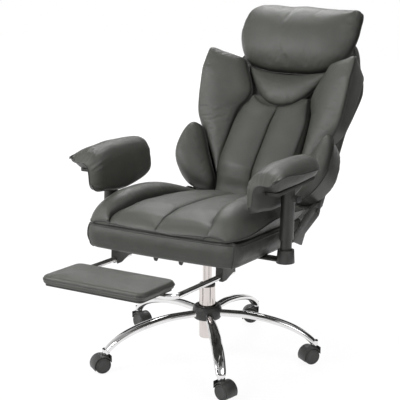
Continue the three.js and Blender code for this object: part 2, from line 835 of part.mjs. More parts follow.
// The rocking tension knob, fluted, at the front of the mechanism.
function knobGeometry() {
  const back = mechanism.front - touchGap;
  const front = back - knob.length;
  const stem = barY(
    knob.stemRadius, front, mechanism.front + knob.stemRadius - touchGap, 0, knob.below, column.sides);
  const grip = barY(knob.radius, front, back, 0, knob.below, column.sides);
  const flutes = Array.from({ length: knob.grips }, (_, i) => {
    const angle = (i / knob.grips) * Math.PI * 2;
    const reach = knob.radius + knob.gripDepth;
    return barY(
      knob.gripDepth * 2, front - overrun, back + overrun, Math.cos(angle) * reach,
      knob.below + Math.sin(angle) * reach, 8);
  });
  return join(cut(grip, ...flutes), stem);
}
piece(seat, "tension_knob", knobGeometry(), "nylon");

// The height lever, from the sitter's right side of the mechanism to a flat paddle.
function heightLeverGeometry() {
  const rod = barX(
    heightLever.radius, -heightLever.reach, -mechanism.halfWidth + knob.stemRadius - slideGap,
    heightLever.behind, heightLever.below, base.legSides);
  const paddle = slabZ(
    roundedRectangle(
      -heightLever.reach, heightLever.behind, heightLever.paddleLength / 2, heightLever.paddleWidth / 2,
      heightLever.paddleWidth / 3),
    heightLever.below - heightLever.paddleThick / 2, heightLever.below + heightLever.paddleThick / 2, 4);
  return join(rod, paddle);
}
piece(seat, "height_lever", heightLeverGeometry(), "nylon");

// Seat

// The seat base from above: wide under the cushion, and narrow between the hinge plates.
function seatBasePlan() {
  const { front, back, halfWidth, frontHalfWidth, corner } = seatBase;
  const plan = new THREE.Shape();
  plan.absarc(frontHalfWidth - corner, front + corner, corner, -Math.PI / 2, 0, false);
  plan.lineTo(frontHalfWidth, seatBase.wideTo);
  plan.lineTo(halfWidth, seatBase.narrowFrom);
  plan.absarc(halfWidth - corner, back - corner, corner, 0, Math.PI / 2, false);
  plan.absarc(corner - halfWidth, back - corner, corner, Math.PI / 2, Math.PI, false);
  plan.lineTo(-halfWidth, seatBase.narrowFrom);
  plan.lineTo(-frontHalfWidth, seatBase.wideTo);
  plan.absarc(corner - frontHalfWidth, front + corner, corner, Math.PI, Math.PI * 1.5, false);
  plan.closePath();
  return plan;
}

// The padded box under the cushion: a lower board with a higher, rounded front.
function seatBaseGeometry() {
  const body = slabZ(seatBasePlan(), 0, seatBase.frontHeight, 5);
  const rim = seatBase.front + seatBase.lipDepth;
  const side = outlineOf([
    [rim, seatBase.height],
    [seatBase.back + overrun, seatBase.height],
    [seatBase.back + overrun, seatBase.frontHeight + overrun],
    [rim, seatBase.frontHeight + overrun],
  ]);
  const wide = seatBase.frontHalfWidth + overrun;
  const edge = (sign) => outlineOf([
    [seatBase.front - overrun, sign > 0 ? seatBase.frontHeight + overrun : -overrun],
    [seatBase.front - overrun, sign > 0 ? seatBase.frontHeight - seatBase.rimRound : seatBase.rimRound],
    [seatBase.front + seatBase.rimRound, sign > 0 ? seatBase.frontHeight : 0],
    [seatBase.front + seatBase.rimRound, sign > 0 ? seatBase.frontHeight + overrun : -overrun],
  ]);
  return cut(body, slabX(side, -wide, wide), slabX(edge(1), -wide, wide), slabX(edge(-1), -wide, wide));
}
piece(seat, "seat_base", seatBaseGeometry(), "leather");

// Points of a cushion section on one side, across and up, as shares of the reach between seams
const panelPointShares = [0, 0.12, 0.3, 0.5, 0.7, 0.88];
const rollPointShares = [0, 0.1, 0.28, 0.5, 0.72, 0.9];

// How far the cushion's side tucks in below its piping, and how far its rolls' tops lean inward
const cushionSideShares = { middle: 0.975, foot: 0.93 };
const rollLeanShare = 0.8;

// The seat cushion: two centre panels and two side rolls between sewn channels.
function cushionGeometry() {
  const length = cushion.back - cushion.front;
  const hump = (share) => Math.sqrt(Math.max(0, 1 - (2 * share - 1) ** 2));
  const rings = cushionStationShares.map((station, i) => {
    const y = cushion.front + station * length;
    const wide = cushion.halfWidth * cushionWidthShares[i];
    const seam = cushionHeight * seamHeightShares[i];
    const crown = cushionHeight * panelCrownShares[i];
    const roll = cushionHeight * rollCrownShares[i];
    const onLip = y < seatBase.front + seatBase.lipDepth + overrun;
    const bottom = (onLip ? seatBase.frontHeight : seatBase.height) + touchGap;
    const piping = Math.max(cushionHeight * pipingHeightShares[i], bottom + slideGap);
    const outerSeam = wide * outerSeamShares[i];
    const half = [
      ...panelPointShares.map((share) => [outerSeam * share, seam + crown * hump(share)]),
      ...rollPointShares.map((share) => [
        between(outerSeam, wide, share),
        between(seam, piping, share ** 2) + roll * hump(share ** rollLeanShare),
      ]),
      [wide, piping],
      [wide * cushionSideShares.middle, between(bottom, piping, 1 / 2)],
      [wide * cushionSideShares.foot, bottom],
    ];
    const ring = [...half, [0, bottom], ...half.slice(1).map(([x, z]) => [-x, z]).reverse()];
    return ring.map(([x, z]) => new THREE.Vector3(x, y, z));
  });
  return loft(rings);
}
piece(seat, "seat_cushion", cushionGeometry(), "leather");

// Footrest guides: an open channel that each rod runs in, under a flange on the seat's underside
function guideGeometry() {
  const reach = footrest.rodRadius + slideGap + guide.wall;
  const body = block(
    [footrest.rodApart - reach, guide.front, footrest.below - reach],
    [footrest.rodApart + reach, guide.back, -touchGap]);
  const flange = block(
    [footrest.rodApart - guide.flangeOut, guide.front, -touchGap - guide.flangeThick],
    [footrest.rodApart + guide.flangeOut, guide.back, -touchGap]);
  const bore = barY(
    footrest.rodRadius + slideGap, guide.front - overrun, guide.back + overrun, footrest.rodApart,
    footrest.below, footrest.sides);
  const slot = block(
    [footrest.rodApart - guide.slot, guide.front - overrun, footrest.below - reach - overrun],
    [footrest.rodApart, guide.back + overrun, footrest.below]);
  const low = footrest.below - reach;
  const under = outlineOf([
    [guide.lowTo, low],
    [guide.back, -guide.rearDrop],
    [guide.back + overrun, -guide.rearDrop],
    [guide.back + overrun, low - overrun],
    [guide.lowTo, low - overrun],
  ]);
  const slope = slabX(under, footrest.rodApart - guide.flangeOut, footrest.rodApart + guide.flangeOut);
  return cut(join(body, flange), bore, slot, slope);
}
pair(seat, "footrest_guide", guideGeometry(), "steel");

// Spring clips that hold the cross tube when the footrest is pushed in.
function catchGeometry() {
  const low = -footCatch.drop;
  const half = footCatch.length / 2;
  const side = new THREE.Shape();
  side.moveTo(footCatch.behind - half, -touchGap);
  side.quadraticCurveTo(footCatch.behind - half, low, footCatch.behind, low);
  side.lineTo(footCatch.behind + half / 2, low + half / 2);
  side.lineTo(footCatch.behind + half, -touchGap);
  side.closePath();
  return slabX(side, footCatch.apart - footCatch.width / 2, footCatch.apart + footCatch.width / 2, 5);
}
pair(seat, "footrest_catch", catchGeometry(), "steel");

// Arms

const barTop = -touchGap;
const barBottom = barTop - arm.barThick;
const postSection = [arm.postWide, arm.postLong];
const shift = (geometry, x, y = 0, z = 0) => geometry.translate(x, y, z);
const atPost = (geometry) => shift(geometry, arm.apart, arm.behind);

// A flat bar from under the seat to inside the collar, with a round end; grow widens it.
function armBar(grow) {
  const half = arm.barWidth / 2 + grow;
  const plan = new THREE.Shape();
  plan.moveTo(arm.barStart, -half);
  plan.lineTo(arm.apart - half, -half);
  plan.absarc(arm.apart - half, 0, half, -Math.PI / 2, Math.PI / 2, false);
  plan.lineTo(arm.barStart, half);
  plan.closePath();
  return shift(slabZ(plan, barBottom - grow, barTop + grow, 6), 0, arm.behind);
}
pair(seat, "arm_bar", armBar(0), "steel");

const ovalBore = (gap, bottom, top) =>
  atPost(ovalBar(arm.postWide + gap, arm.postLong + gap, bottom, top));
const collarShape = atPost(
  ovalBar(arm.collarWide, arm.collarLong, arm.collarBottom, arm.collarTop, arm.collarFlare));
const collarGeometry = cut(collarShape, armBar(touchGap), ovalBore(touchGap, 0, arm.collarTop + overrun));
pair(seat, "arm_collar", collarGeometry, "nylon");
pair(seat, "arm_post", atPost(ovalBar(...postSection, touchGap, arm.postTop)), "steel");

// The pad and its board lie level, over the leaning sleeve's top.
const levelOnSleeve = (geometry) =>
  geometry.rotateX(toRadians(seatTilt)).translate(arm.apart, arm.behind, arm.sleeveTop);

// The sleeve that slides on the post, closed at its top, with the button's boss and the pad's board.
function sleeveGeometry() {
  const tube = atPost(ovalBar(arm.sleeveWide, arm.sleeveLong, arm.sleeveBottom, arm.sleeveTop));
  const boss = barX(
    button.bossRadius, arm.apart, arm.apart + arm.sleeveWide + button.bossRise, arm.behind, button.height,
    arm.sides);
  const boardLength = (arm.boardBack - arm.boardFront) / 2;
  const board = levelOnSleeve(slabZ(
    roundedRectangle(
      (arm.boardOut - arm.boardIn) / 2, arm.boardFront + boardLength, (arm.boardOut + arm.boardIn) / 2,
      boardLength, arm.boardRound),
    -arm.boardThick / 2, arm.boardThick, 4));
  const bore = ovalBore(slideGap, arm.sleeveBottom - overrun, arm.sleeveTop - arm.sleeveRoof);
  const buttonBore = barX(
    button.radius + slideGap, arm.apart + arm.postWide,
    arm.apart + arm.sleeveWide + button.bossRise + overrun, arm.behind, button.height, arm.sides);
  return cut(join(tube, boss, board), bore, buttonBore);
}
pair(seat, "arm_sleeve", sleeveGeometry(), "steel");

// The height button: a round stem in the sleeve's boss, under a T-shaped cap.
function buttonGeometry() {
  const stemIn = arm.apart + arm.postWide + slideGap + button.travel + touchGap;
  const stemOut = arm.apart + arm.sleeveWide + button.bossRise + button.travel + slideGap;
  const stem = barX(button.radius, stemIn, stemOut, arm.behind, button.height, arm.sides);
  const cap = slabX(
    roundedRectangle(
      arm.behind, button.height, button.capHalf, button.capTall, button.capTall / 2),
    stemOut - touchGap, stemOut + button.capThick, 3);
  return join(stem, cap);
}
pair(seat, "arm_button", buttonGeometry(), "nylon");

// The arm pad's section from its outer lip over the crown to the inner drop: each point's place
// between the middle and an edge, and its height as a share of the crown
const padTopShares = [
  [1, 0.4], [0.96, 0.55], [0.78, 0.77], [0.42, 0.94], [0, 1], [-0.36, 0.99], [-0.68, 0.91], [-0.88, 0.75],
  [-0.985, 0.52], [-1, 0.24],
];
// The drop's outline: across it from the inner face, and down it
const padDropOutlineShares = [
  [0.03, 0.6], [0.14, 0.92], [0.42, 1], [0.72, 0.98], [0.9, 0.84], [0.97, 0.5], [1, 0.06]];
// The underside from the drop out to the lip
const padUnderShares = [[-0.14, 0], [0.3, 0], [0.8, 0.02], [0.94, 0.24]];

function armPadGeometry() {
  const length = armPad.back - armPad.front;
  const halfWide = (armPad.outer - armPad.inner) / 2;
  const middle = (armPad.outer + armPad.inner) / 2;
  const rings = padStationShares.map((station, i) => {
    const y = armPad.front + station * length;
    const wide = halfWide * padWidthShares[i];
    const rise = (armPad.crown - armPad.underside) * padHeightShares[i];
    const dropWide = (armPad.flapOuter - armPad.inner) * padWidthShares[i];
    const drop = (armPad.flapBottom - armPad.underside) * padDropShares[i];
    const across = (share) => middle + wide * share;
    const lip = (share) =>
      (armPad.lipRise * padLipShares[i] * Math.max(0, share - armPad.lipFrom)) / (1 - armPad.lipFrom);
    const ring = [
      ...padTopShares.map(([x, z]) => [across(x), armPad.underside + rise * z + lip(x)]),
      ...padDropOutlineShares.map(([x, z]) => [across(-1) + dropWide * x, armPad.underside + drop * z]),
      ...padUnderShares.map(([x, z]) => [across(x), armPad.underside + rise * z + Math.max(0, lip(x))]),
    ];
    return ring.map(([x, z]) => new THREE.Vector3(x, y, z));
  });
  return levelOnSleeve(loft(rings));
}
pair(seat, "arm_pad", armPadGeometry(), "leather");

// Recline hinges

const plateInner = seatBase.halfWidth + touchGap;
const plateOuter = plateInner + hinge.plateThick;
const hingeArmOuter = plateInner - slideGap;
const hingeArmInner = hingeArmOuter - hinge.armThick;
const shellFoot = hingeArmInner - touchGap; // half the width of the back's foot, between its hinge arms

// Points of a hinge plate on its way from the seat to the boss, behind and above the seat's middle,
// as shares of the hinge's own place
const hingePlateShares = [
  [0.375, 0.3], [0.375, 0.04], [0.415, 0.04], [0.62, -0.24], [0.7, 0.2], [1.02, 0.68], [0.97, 1.31],
  [0.59, 0.85],
];

function hingePlateGeometry() {
  const web = slabX(
    outlineOf(hingePlateShares.map(([y, z]) => [y * hinge.behind, z * hinge.above])), plateInner, plateOuter);
  const boss = barX(hinge.plateBoss, plateInner, plateOuter, hinge.behind, hinge.above, column.sides);
  const bore = barX(
    hinge.pinRadius + slideGap, plateInner - overrun, plateOuter + overrun, hinge.behind, hinge.above,
    column.sides);
  return cut(join(web, boss), bore);
}
piece(seat, "hinge_plate_left", hingePlateGeometry(), "steel");
const leverBore = barX(
  reclineLever.pinRadius + slideGap, plateInner - overrun, plateOuter + overrun, reclineLever.behind,
  reclineLever.above, base.legSides);
piece(seat, "hinge_plate_right", mirrored(cut(hingePlateGeometry(), leverBore)), "steel");

// The recline lever, on the outside of the right hinge plate, with its grip to the front.
function reclineLeverGeometry() {
  const inner = plateOuter + slideGap;
  const outer = inner + reclineLever.thickness;
  const pin = barX(
    reclineLever.pinRadius, plateInner + touchGap, inner + touchGap, reclineLever.behind, reclineLever.above,
    base.legSides);
  const hub = barX(
    reclineLever.hubRadius, inner, outer, reclineLever.behind, reclineLever.above, column.sides);
  const tip = reclineLever.behind - reclineLever.length;
  const shank = block(
    [inner, tip + reclineLever.gripHeight, reclineLever.above - reclineLever.height / 2],
    [outer, reclineLever.behind, reclineLever.above + reclineLever.height / 2]);
  const grip = slabX(
    roundedRectangle(
      tip + reclineLever.gripLength / 2, reclineLever.above, reclineLever.gripLength / 2,
      reclineLever.gripHeight / 2, reclineLever.gripHeight / 3),
    inner, inner + reclineLever.gripThick, 3);
  return join(pin, hub, shank, grip);
}
piece(seat, "recline_lever", mirrored(reclineLeverGeometry()), "nylon");

// The back, in a frame on the recline axis: +Z up the back, +Y behind it
const back = new THREE.Group();
back.position.set(0, hinge.behind, hinge.above);
back.rotation.x = -toRadians(backRecline - seatTilt);
seat.add(back);

function hingeArmGeometry() {
  const boss = barX(hinge.plateBoss - touchGap, hingeArmInner, hingeArmOuter, 0, 0, column.sides);
  const bar = slabX(
    outlineOf([
      [-hinge.pinRadius, -hinge.pinRadius],
      [hinge.pinRadius, -hinge.pinRadius * 2],
      [hinge.armBehind + hinge.armWidth / 2, hinge.armWidth],
      [hinge.armBehind + hinge.armWidth / 2, hinge.armTop],
      [hinge.armBehind - hinge.armWidth / 2, hinge.armTop],
      [hinge.armBehind - hinge.armWidth / 2, hinge.plateBoss],
    ]),
    hingeArmInner, hingeArmOuter);
  const pin = barX(hinge.pinRadius, hingeArmInner, plateOuter + hinge.pinSpare, 0, 0, column.sides);
  return join(boss, bar, pin);
}
pair(back, "hinge_arm", hingeArmGeometry(), "steel");

// The front face of the back's board, behind the axis, at a height.
const shellFront = (z) => shell.front + Math.max(0, z - shell.bend) * shell.leanShare;

// The padded board of the back: a loft up the back, flat in front, with a thin foot and top.
function shellGeometry() {
  const height = shell.top - shell.bottom;
  const rings = shellStationShares.map((station, i) => {
    const z = shell.bottom + station * height;
    const closing = shellCloseShares[i];
    const wide = between(shellFoot, shell.halfWidth, shellFlareShares[i]);
    const half = (shell.thickness * closing) / 2;
    const across = wide * between(1, closing, shellWidthCloseShare);
    const section = roundedRectangle(0, shellFront(z) + half, across, half, half * shellRoundShare);
    return section.getPoints(shell.cornerSteps).slice(0, -1).map((p) => new THREE.Vector3(p.x, p.y, z));
  });
  return loft(rings);
}
piece(back, "back_shell", shellGeometry(), "leather");

const boardFace = shell.front - touchGap;

// Half widths of a channel section at its front seam and on the board, as shares of its widest
const channelSideShares = { seam: 0.96, foot: 0.97 };

// The two centre channels, sewn down the middle, with a hollow top edge for the neck pad.
function channelGeometry() {
  const hump = (share) => Math.sqrt(Math.max(0, 1 - (2 * share - 1) ** 2));
  const rings = channelStationShares.map((station, i) => {
    const wide = channels.halfWidth * channelWidthShares[i];
    const deep = channels.depth * channelDepthShares[i];
    const crown = channels.crown * channelCrownShares[i];
    const point = (x, depth) => {
      const out = (Math.abs(x) / channels.halfWidth) ** channelTopPower;
      const top = between(channels.topMiddle, channels.topSide, out);
      return new THREE.Vector3(x, boardFace - depth, between(channels.bottom, top, station));
    };
    const seamDepth = deep - crown;
    const half = [
      ...panelPointShares.map(
        (share) => [wide * share * channelSideShares.seam, seamDepth + crown * hump(share)]),
      [wide * channelSideShares.seam, seamDepth],
      [wide, seamDepth / 2],
      [wide * channelSideShares.foot, 0],
    ];
    const ring = [...half, [0, 0], ...half.slice(1).map(([x, depth]) => [-x, depth]).reverse()];
    return ring.map(([x, depth]) => point(x, depth));
  });
  const footDepth = (channels.depth * channelDepthShares[0]) / 2;
  const footPole = new THREE.Vector3(0, boardFace - footDepth, channels.bottom);
  const topPole = new THREE.Vector3(0, footPole.y, channels.topMiddle);
  return loft(rings, footPole, topPole);
}
piece(back, "back_cushion", channelGeometry(), "leather");

// A padded side piece of the back, whose seam plane flares forward towards its outer edge.
function sidePad(values, outlineShares, middleShares, rise) {
  const at = ([x, z]) => [between(values.inner, values.outer, x), between(values.lowest, values.highest, z)];
  const plane = (x, z) => {
    const across = (x - values.inner) / (values.outer - values.inner);
    const up = (z - values.lowest) / (values.highest - values.lowest);
    return -values.plane - values.flare * across * rise(up);
  };
  return pillow(
    outlineShares.map(at), at(middleShares), plane,
    (share) => soft.rim + values.crown * dome(share),
    (share, x, z) => boardFace - plane(x, z));
}
const wingRise = (up) => Math.min(1, up / wingFlareShare);
pair(back, "back_wing", sidePad(wing, wingOutlineShares, wingMiddleShares, wingRise), "leather");
pair(back, "lumbar_bolster", sidePad(bolster, bolsterOutlineShares, bolsterMiddleShares, () => 1), "leather");

// A padded piece across the middle of the back, whose rear lies on the board.
function middlePad(values, outlineShares, rearFace) {
  const at = ([x, z]) => [x * values.halfWidth, between(values.lowest, values.highest, z)];
  return pillow(
    outlineShares.map(at), at([0, values.middle]), () => -values.plane,
    (share) => soft.rim + values.crown * dome(share),
    (share, x, z) => (rearFace(z) - touchGap + values.plane) * dome(share));
}
piece(back, "neck_pad", middlePad(neck, neckOutlineShares, () => shell.front), "leather");
piece(back, "headrest", middlePad(headrest, headOutlineShares, shellFront), "leather");

// Footrest

// The U-shaped tube: two rods in the guides and a cross tube at the front.
function footrestFrameGeometry() {
  const corner = footrest.rodApart - footrest.bend;
  const arc = Array.from({ length: footrest.bendSteps + 1 }, (_, i) => {
    const angle = (i / footrest.bendSteps) * (Math.PI / 2);
    return [
      corner + footrest.bend * Math.cos(angle), footrest.crossFront + footrest.bend * (1 - Math.sin(angle))];
  });
  const right = [[footrest.rodApart, footrest.rodBack], ...arc];
  const path = [...right, ...right.map(([x, y]) => [-x, y]).reverse()];
  return tubeThrough(
    path.map(([x, y]) => new THREE.Vector3(x, y, footrest.below)), footrest.rodRadius, footrest.sides);
}
piece(seat, "footrest_frame", footrestFrameGeometry(), "chrome");

const boardBottom = footrest.below + footrest.rodRadius + slideGap;
const boardTop = boardBottom + footrest.boardThick;

// The board under the footrest pad, with two clamps that turn on the cross tube.
function footrestBoardGeometry() {
  const inset = footrest.boardInset;
  const middle = (footrest.padFront + footrest.padBack) / 2;
  const board = slabZ(
    roundedRectangle(
      0, middle, footrest.halfWidth - inset, (footrest.padBack - footrest.padFront) / 2 - inset,
      footrest.padEdge),
    boardBottom, boardTop, 3);
  const reach = footrest.rodRadius + slideGap + footrest.clampWall;
  const clamps = [1, -1].map((side) =>
    block(
      [-footrest.clampLength / 2, footrest.crossFront - reach, footrest.below - reach],
      [footrest.clampLength / 2, footrest.crossFront + reach, boardTop],
    ).translate(side * footrest.clampApart, 0, 0));
  const bore = barX(
    footrest.rodRadius + slideGap, -footrest.halfWidth, footrest.halfWidth, footrest.crossFront,
    footrest.below, footrest.sides);
  return cut(join(board, ...clamps), bore);
}
piece(seat, "footrest_board", footrestBoardGeometry(), "steel");

// Rings of the footrest pad from its underside over the edge to the crown: how far in from the
// edge, as a share of its rounding, and how high, as a share of its thickness
const footPadRingShares = [[0.8, 0], [0.1, 0.16], [0, 0.45], [0.3, 0.78], [1, 0.96], [2.6, 1]];

function footrestPadGeometry() {
  const middle = (footrest.padFront + footrest.padBack) / 2;
  const halfLong = (footrest.padBack - footrest.padFront) / 2;
  const bottom = boardTop + touchGap;
  const crown = footrest.padCrown;
  const rings = footPadRingShares.map(([inset, up]) => {
    const shrink = inset * footrest.padEdge;
    const shape = roundedRectangle(
      0, middle, footrest.halfWidth - shrink, halfLong - shrink, footrest.padEdge);
    const z = up === 1 ? footrest.padTop : between(bottom, footrest.padTop - crown, up);
    return shape.getPoints(3).slice(0, -1).map((p) => new THREE.Vector3(p.x, p.y, z));
  });
  return loft(rings);
}
piece(seat, "footrest_pad", footrestPadGeometry(), "leather");

// The origin goes to the floor under the middle of the whole chair.
chair.updateMatrixWorld(true);
const whole = new THREE.Box3().setFromObject(chair, true);
const part = new THREE.Group();
chair.position.set(-(whole.min.x + whole.max.x) / 2, -(whole.min.y + whole.max.y) / 2, -whole.min.z);
part.add(chair);

export default part;
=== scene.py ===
import bpy
import json
import math
import numpy as np
from mathutils import Matrix, Vector


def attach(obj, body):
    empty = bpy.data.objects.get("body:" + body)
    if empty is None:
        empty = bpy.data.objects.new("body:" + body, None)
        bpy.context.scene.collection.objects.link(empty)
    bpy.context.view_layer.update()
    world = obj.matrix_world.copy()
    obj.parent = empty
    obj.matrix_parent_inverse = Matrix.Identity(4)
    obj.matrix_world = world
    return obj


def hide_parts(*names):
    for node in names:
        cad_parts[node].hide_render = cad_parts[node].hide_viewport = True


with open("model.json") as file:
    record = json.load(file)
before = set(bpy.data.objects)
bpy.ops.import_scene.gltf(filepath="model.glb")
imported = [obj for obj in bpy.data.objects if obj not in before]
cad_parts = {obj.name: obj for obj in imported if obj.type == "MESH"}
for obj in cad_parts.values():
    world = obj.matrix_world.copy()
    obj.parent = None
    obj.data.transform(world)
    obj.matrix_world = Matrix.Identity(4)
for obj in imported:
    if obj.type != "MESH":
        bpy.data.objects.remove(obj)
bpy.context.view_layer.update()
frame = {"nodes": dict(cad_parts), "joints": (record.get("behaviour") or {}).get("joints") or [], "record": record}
nodes = frame["nodes"]
joints = {joint["name"]: joint for joint in frame["joints"]}
sides = {"left": 1, "right": -1}  # the sitter's left is +X

# Postures and reference places, in metres and degrees
chair = {
    "seatTilt": 3.4,
    "backRecline": 37,
    "underseat": 0.37,  # floor to the underside of the seat, over the column
}
columnY = joints["seat_swivel"]["pos_m"][1]
hingeAt = Vector(joints["back_recline"]["pos_m"])
seatFrame = (Matrix.Translation((0, columnY, chair["underseat"]))
             @ Matrix.Rotation(math.radians(-chair["seatTilt"]), 4, "X"))
backFrame = Matrix.Translation(hingeAt) @ Matrix.Rotation(math.radians(-chair["backRecline"]), 4, "X")


def selectOnly(*things):
    bpy.ops.object.select_all(action="DESELECT")
    for thing in things:
        thing.select_set(True)
    bpy.context.view_layer.objects.active = things[0]


def lastAdded(name):
    piece = bpy.context.active_object
    piece.name = piece.data.name = name
    return piece


def applyAll(piece):
    selectOnly(piece)
    for modifier in list(piece.modifiers):
        bpy.ops.object.modifier_apply(modifier=modifier.name)


def vertexArray(piece):
    at = np.empty(len(piece.data.vertices) * 3)
    piece.data.vertices.foreach_get("co", at)
    return at.reshape(-1, 3)


def putVertices(piece, at):
    piece.data.vertices.foreach_set("co", np.asarray(at, dtype=np.float64).ravel())
    piece.data.update()


def outward(piece):
    selectOnly(piece)
    bpy.ops.object.mode_set(mode="EDIT")
    bpy.ops.mesh.select_all(action="SELECT")
    bpy.ops.mesh.normals_make_consistent(inside=False)
    bpy.ops.object.mode_set(mode="OBJECT")


def smoothShade(piece, angle=None):
    selectOnly(piece)
    if angle is None:
        bpy.ops.object.shade_smooth()
    else:
        bpy.ops.object.shade_smooth_by_angle(angle=math.radians(angle))


def paintSeamShade(piece, value):
    # painted shade in the leather at seams, creases and shaded linings, from 0 to 1
    if "seam" in piece.data.attributes:
        piece.data.attributes.remove(piece.data.attributes["seam"])
    attribute = piece.data.attributes.new("seam", "FLOAT", "POINT")
    attribute.data.foreach_set("value", np.clip(value, 0, 1).astype(np.float32))


def inFrame(points, into):
    return np.asarray(points) @ np.array(into.to_3x3()).T + np.array(into.translation)


def stretch(value, start, end):
    # how far along a stretch a value is, from 0 to 1
    return np.clip((value - start) / (end - start), 0, 1)


def ridge(distance, width):
    return np.exp(-(distance / width) ** 2)


def hump(share, power=0.5):
    return np.maximum(0, 1 - (2 * share - 1) ** 2) ** power


def crowd(share):
    # gathers points towards both ends of a stretch
    return 0.5 - 0.5 * np.cos(np.pi * share)


def mirrored(around):
    # how far round from the middle line, from 0 to 1, and on which side
    return np.minimum(around, 1 - around) * 2, np.where(around < 0.5, 1, -1)


def capped(down, cap):
    # the way along a form that closes in a flat cap at both poles, and how open it is there
    return stretch(down, cap, 1 - cap), np.clip(np.minimum(down, 1 - down) / cap, 0, 1)


def sided(half, sign):
    # the way around a form of a line at a share of the way from its middle to one side
    return half / 2 if sign > 0 else 1 - half / 2


def lineOn(place, around, down):
    return place(np.full(len(down), around), down)[0]


def smoothTable(stations, values, at):
    # a smooth curve through a table, without overshoot
    x, y = np.asarray(stations, float), np.asarray(values, float)
    step = np.diff(x)
    rise = np.diff(y) / step
    slope = np.zeros_like(y)
    same = rise[1:] * rise[:-1] > 0
    slope[1:-1] = np.where(same, 2 * rise[1:] * rise[:-1] / np.where(same, rise[1:] + rise[:-1], 1), 0)
    slope[0], slope[-1] = rise[0], rise[-1]
    at = np.clip(at, x[0], x[-1])
    i = np.clip(np.searchsorted(x, at, side="right") - 1, 0, len(step) - 1)
    t = (at - x[i]) / step[i]
    return ((2 * t**3 - 3 * t**2 + 1) * y[i] + (t**3 - 2 * t**2 + t) * step[i] * slope[i]
            + (3 * t**2 - 2 * t**3) * y[i + 1] + (t**3 - t**2) * step[i] * slope[i + 1])


def softNoise(x, y, z, size, seed):
    # smooth noise from -1 to 1 with features of about that size
    cell = [np.asarray(c) / size + seed * 17.3 for c in (x, y, z)]
    low = [np.floor(c).astype(np.int64) for c in cell]
    part = [c - f for c, f in zip(cell, low)]
    part = [p * p * (3 - 2 * p) for p in part]
    total = 0
    for dx in (0, 1):
        for dy in (0, 1):
            for dz in (0, 1):
                n = (low[0] + dx) * 374761393 + (low[1] + dy) * 668265263 + (low[2] + dz) * 2147483647
                n = (n ^ (n >> 13)) * 1274126177
                value = ((n ^ (n >> 16)) & 0xFFFF) / 32767.5 - 1
                weight = ((part[0] if dx else 1 - part[0]) * (part[1] if dy else 1 - part[1])
                          * (part[2] if dz else 1 - part[2]))
                total = total + value * weight
    return total


def closedCurve(points, count=720):
    # a smooth closed outline through points, evenly spaced along its length
    points = np.asarray(points, float)
    n = len(points)
    t = np.linspace(0, n, n * 24, endpoint=False)
    i = t.astype(int)
    f = (t - i)[:, None]
    a, b, c, d = (points[(i + k) % n] for k in (-1, 0, 1, 2))
    dense = 0.5 * (2 * b + (c - a) * f + (2 * a - 5 * b + 4 * c - d) * f**2
                   + (3 * b - a - 3 * c + d) * f**3)
    reach = np.append(0, np.cumsum(np.linalg.norm(np.diff(dense, axis=0, append=dense[:1]), axis=1)))
    want = np.linspace(0, reach[-1], count, endpoint=False)
    closed = np.vstack([dense, dense[:1]])
    return np.stack([np.interp(want, reach, closed[:, k]) for k in range(2)], axis=1)


def inset(points, outline):
    # how far inside an outline points lie: true near the edge, and smooth in the middle
    step = np.linalg.norm(outline - np.roll(outline, 1, axis=0), axis=1)
    total = np.zeros(len(points))
    for start in range(0, len(points), 4000):
        part = points[start:start + 4000]
        away = ((part[:, None, :] - outline[None, :, :]) ** 2).sum(axis=2)
        total[start:start + 4000] = (step / np.maximum(away, 1e-9)).sum(axis=1)
    return math.pi / total


def mould(name, segments, rings, place, into):
    # a ball primitive whose every point is moved to its place on a padded form: around it from 0
    # to 1 and from its first pole to its last from 0 to 1
    bpy.ops.object.select_all(action="DESELECT")
    bpy.ops.mesh.primitive_uv_sphere_add(segments=segments, ring_count=rings, radius=1)
    piece = lastAdded(name)
    at = vertexArray(piece)
    around = (np.arctan2(at[:, 1], at[:, 0]) / (2 * math.pi)) % 1
    down = np.arccos(np.clip(at[:, 2], -1, 1)) / math.pi
    # the place function also gives each point's painted seam shade
    made, seam = place(around, down)
    putVertices(piece, made)
    paintSeamShade(piece, seam)
    piece.data.transform(into)
    outward(piece)
    smoothShade(piece)
    return piece


def dress(piece, material, slot, body, *replaced, fill=None):
    piece.data.materials.clear()
    piece.data.materials.append(material)
    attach(piece, body)
    if replaced:
        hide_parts(*replaced)
    return piece


def newCurve(name, radius, resolution, closed):
    curve = bpy.data.curves.new(name, "CURVE")
    curve.dimensions = "3D"
    curve.bevel_depth = radius
    curve.bevel_resolution = resolution
    curve.use_fill_caps = not closed
    return curve


def curveToMesh(name, curve, into=None):
    made = bpy.data.objects.new(name, curve)
    bpy.context.scene.collection.objects.link(made)
    selectOnly(made)
    bpy.ops.object.convert(target="MESH")
    piece = lastAdded(name)
    if into is not None:
        piece.data.transform(into)
    outward(piece)
    smoothShade(piece)
    return piece


def tubeAlong(name, points, radius, closed, material, slot, body, into=None, sides=8):
    # a round cord through points, such as piping
    curve = newCurve(name, radius, max(1, sides // 4), closed)
    spline = curve.splines.new("POLY")
    spline.points.add(len(points) - 1)
    spline.points.foreach_set("co", np.hstack([np.asarray(points), np.ones((len(points), 1))]).ravel())
    spline.use_cyclic_u = closed
    return dress(curveToMesh(name, curve, into), material, slot, body)


def piping(name, points, radius, body, closed=False, into=None):
    return tubeAlong(name, points, radius, closed, pipingLeather, "leather", body, into)


